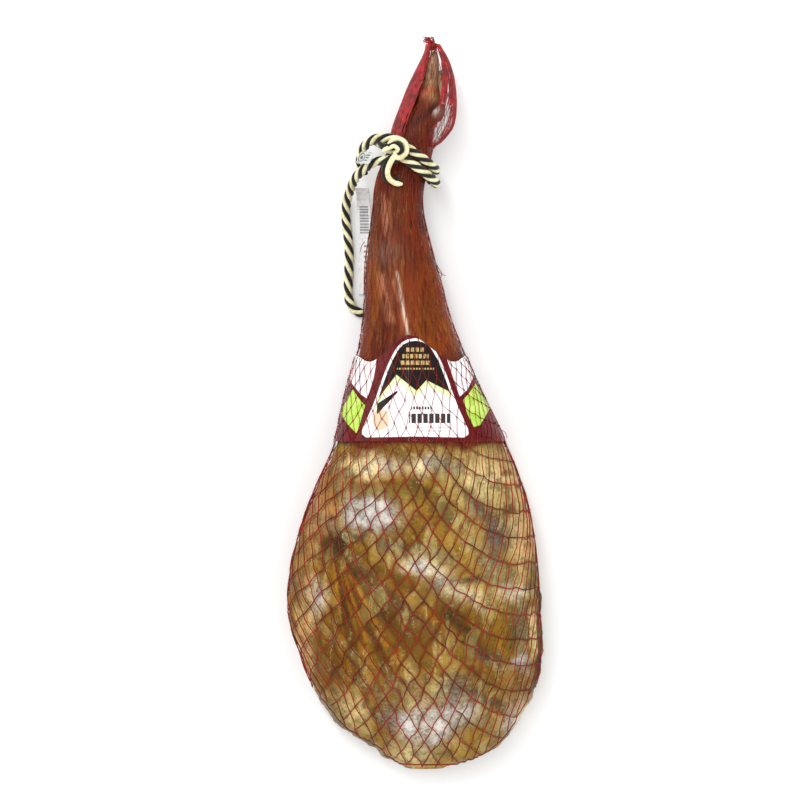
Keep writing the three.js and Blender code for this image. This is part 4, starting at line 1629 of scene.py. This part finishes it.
def make_collar():
    angles = math.pi / 2 - np.arange(COLLAR_COLUMNS) / COLLAR_COLUMNS * TAU
    angles = np.unwrap(np.arctan2(0.8 * np.sin(angles), np.cos(angles)))
    t = np.linspace(0, 1, COLLAR_ROWS)[:, None]
    y = COLLAR_Y + t * collar_top(angles)[None, :]
    # The paper's surface at each place: first round the leg, then along it.
    order = np.argsort(column_angles % TAU)
    grid_angles = (column_angles % TAU)[order]
    around = np.array([np.interp(angles % TAU, grid_angles, row, period=TAU)
                       for row in paper_reach[:, order]])
    reach = np.stack([np.interp(y[:, j], wrap_y, around[:, j])
                      for j in range(COLLAR_COLUMNS)], -1)
    spot = np.stack([5 * np.cos(angles) + 0 * y, y / 30, 5 * np.sin(angles) + 0 * y], -1)
    reach = reach + 0.25 + 0.3 * noise(spot, 1, 71, 2)
    centre = centre_at(y)
    x = centre[..., 0] + reach * np.cos(angles)
    z = centre[..., 1] + reach * np.sin(angles)
    # A lengthways crease where the paper is folded over the bone.
    z = z + 0.7 * hump((x + 5.5) / 2.2) * (np.sin(angles) > 0)
    points = np.stack([x, y, np.maximum(z, 1.15)], -1)
    piece = mesh_object("collar_paper_sheet", points.reshape(-1, 3),
                        ring_faces(COLLAR_ROWS, COLLAR_COLUMNS).tolist())
    smooth(piece)
    front = (np.sin(angles) > -0.3)[None, :]
    for name, outlines in (("panel_mm", [PANEL]), ("white_mm", WHITE_FIELDS),
                           ("green_mm", GREEN_FIELDS)):
        away = np.min([outline_distance(x - PRINT_SHIFT, y, outline) for outline in outlines], 0)
        paint(piece, name, np.where(front, away, FAR).ravel())
    thicken(piece, 0.3, -1)
    finished(piece, ["collar"], collar_material())


# Printed blocks: middle, half sizes, spacing and share of each dash, strength.
GOLD_ROWS = (
    (1, 49, 8.5, 1.9, 4.4, 0.62, 0.85), (1, 43, 12, 1.9, 4.0, 0.66, 0.85),
    (1, 37, 14, 1.9, 4.6, 0.7, 0.85), (1, 31.5, 17, 0.8, 2.6, 0.55, 0.85),
)
INK_ROWS = (
    (14, -14, 19, 4.4, 5.4, 0.74, 0.97), (6, -4.5, 9, 1.4, 2.6, 0.66, 0.95),
    (12, -22.5, 20, 0.7, 2.2, 0.6, 0.5), (12, -25.5, 14, 0.7, 2.2, 0.6, 0.5),
)


def collar_material():
    """Coated paper: burgundy, with an arched white panel of plain hills, fields and blocks."""
    material, tree, shader = new_material("printed_collar_paper")
    place = add(tree, "ShaderNodeSeparateXYZ", Vector=stretched(tree, (1000, 1000, 1000)))
    x, y = place.outputs[0], place.outputs[1]
    panel, white, green = (painted(tree, name + "_mm") for name in ("panel", "white", "green"))

    def below(value, limit):
        return between(value, limit - 0.25, limit + 0.25, 1, 0)

    def above(value, limit):
        return between(value, limit - 0.25, limit + 0.25)

    def box(x0, y0, half_x, half_y):
        return times(below(size_of(minus(x, x0)), half_x), below(size_of(minus(y, y0)), half_y))

    def dashes(step, share):
        return between(fraction(times(plus(x, 100.0), 1 / step)), share, share + 0.08, 1, 0)

    def hill(top_x, top_y, left_fall, right_fall):
        away = minus(x, top_x)
        fall = maths("MAXIMUM", times(away, -left_fall), times(away, right_fall))
        return minus(top_y, fall)

    worn = grain(stretched(tree, (1, 1, 1)), 120, 6, 0.65)
    colour = blend(between(worn, 0.35, 0.7), linear(80, 2, 8), linear(106, 10, 16))
    side_white = blend(between(worn, 0.4, 0.75), linear(250, 244, 246), linear(226, 206, 212))
    lime = blend(between(worn, 0.3, 0.7), linear(150, 205, 44), linear(206, 228, 120))
    colour = blend(times(below(white, 0), above(panel, 3.6)), colour, side_white)
    colour = blend(times(below(green, 0), above(panel, 3.6)), colour, lime)
    colour = blend(below(panel, 0), colour, linear(252, 246, 248))
    # Hills: a zigzag skyline between the dark sky and the pale land.
    skyline = maths("MAXIMUM", hill(-16.5, 26.0, 1.3, 0.8), hill(11.0, 21.0, 1.1, 0.5))
    over_hills = minus(y, skyline)
    colour = blend(times(below(panel, -2.2), between(over_hills, -11, 0, 0, 0.9)), colour,
                   linear(206, 226, 148))
    colour = blend(times(below(panel, -2.2), between(over_hills, -0.3, 0.3)), colour,
                   linear(24, 12, 14))
    ink = linear(16, 16, 18)
    for rows, print_colour in ((GOLD_ROWS, linear(206, 176, 112)), (INK_ROWS, ink)):
        for *block, step, share, strength in rows:
            colour = blend(times(box(*block), dashes(step, share), strength), colour, print_colour)
    # A plain dark stroke over a tan spot at the lower left.
    lean = minus(y, plus(times(x, 0.86), 24.0))
    thick = evenly(x, -36, -16, 5.2, 1.2)
    stroke = times(between(minus(size_of(lean), thick), -0.3, 0.3, 1, 0), box(-25, 0, 9.5, 14))
    spot = plus(maths("POWER", times(plus(x, 31.0), 0.13), 2.0),
                maths("POWER", times(plus(y, 15.0), 0.10), 2.0))
    colour = blend(times(between(spot, 0.9, 1.1, 1, 0), 0.75), colour, linear(206, 176, 120))
    colour = blend(stroke, colour, ink)
    dress(shader, colour, evenly(worn, 0.3, 0.7, 0.05, 0.10), 0.22)
    wrinkle = grain(stretched(tree, (70, 22, 70)), 1.0, 3, 0.5, 0.4)
    bumps(shader, (wrinkle, 0.25, 1.2))
    return material


# ---------------------------------------------------------------- floor, light, and the whole

FLOOR_HALF = 6.0          # metres


def add_stage():
    mesh = bpy.data.meshes.new("floor")
    corners = [(-1, -1), (1, -1), (1, 1), (-1, 1)]
    mesh.from_pydata([(FLOOR_HALF * x, FLOOR_HALF * y, 0) for x, y in corners], [], [(0, 1, 2, 3)])
    material, _, shader = new_material("pale_floor")
    dress(shader, (0.92, 0.92, 0.92), 0.9, 0.1)
    mesh.materials.append(material)
    shown("floor", mesh)


# Lights, in metres and watts: place, the point that it faces, its two sides, power.
LIGHTS = {
    "key": ((-2.2, 1.2, 1.9), (0, 0, 0.04), (2.4, 2.4), 22),
    "fill": ((2.2, -0.8, 2.0), (0, 0, 0.04), (2.4, 2.4), 18),
    "long_strip": ((-0.42, 0.9, 2.9), (0, 0.1, 0.08), (0.06, 2.6), 34),
}


def add_light(name, place, target, sides, power):
    data = bpy.data.lights.new(name, "AREA")
    data.shape = "RECTANGLE"
    data.size, data.size_y = sides
    data.energy = power
    light = shown(name, data)
    light.location = place
    light.rotation_mode = "QUATERNION"
    light.rotation_quaternion = (Vector(place) - Vector(target)).to_track_quat("Z", "Y")


def add_lights():
    world = bpy.data.worlds.new("soft_studio")
    world.use_nodes = True
    sky = world.node_tree.nodes["Background"]
    sky.inputs[0].default_value = (1, 1, 1, 1)
    sky.inputs[1].default_value = 0.92
    bpy.context.scene.world = world
    bpy.context.scene.view_settings.view_transform = "Standard"
    for name, settings in LIGHTS.items():
        add_light(name, *settings)


rope, knot_strands, rope_path = make_rope()
make_ham()
make_collar()
make_net()
seal_tag = make_seal_tag()
strip_tag = make_strip_tag()
add_stage()
add_lights()
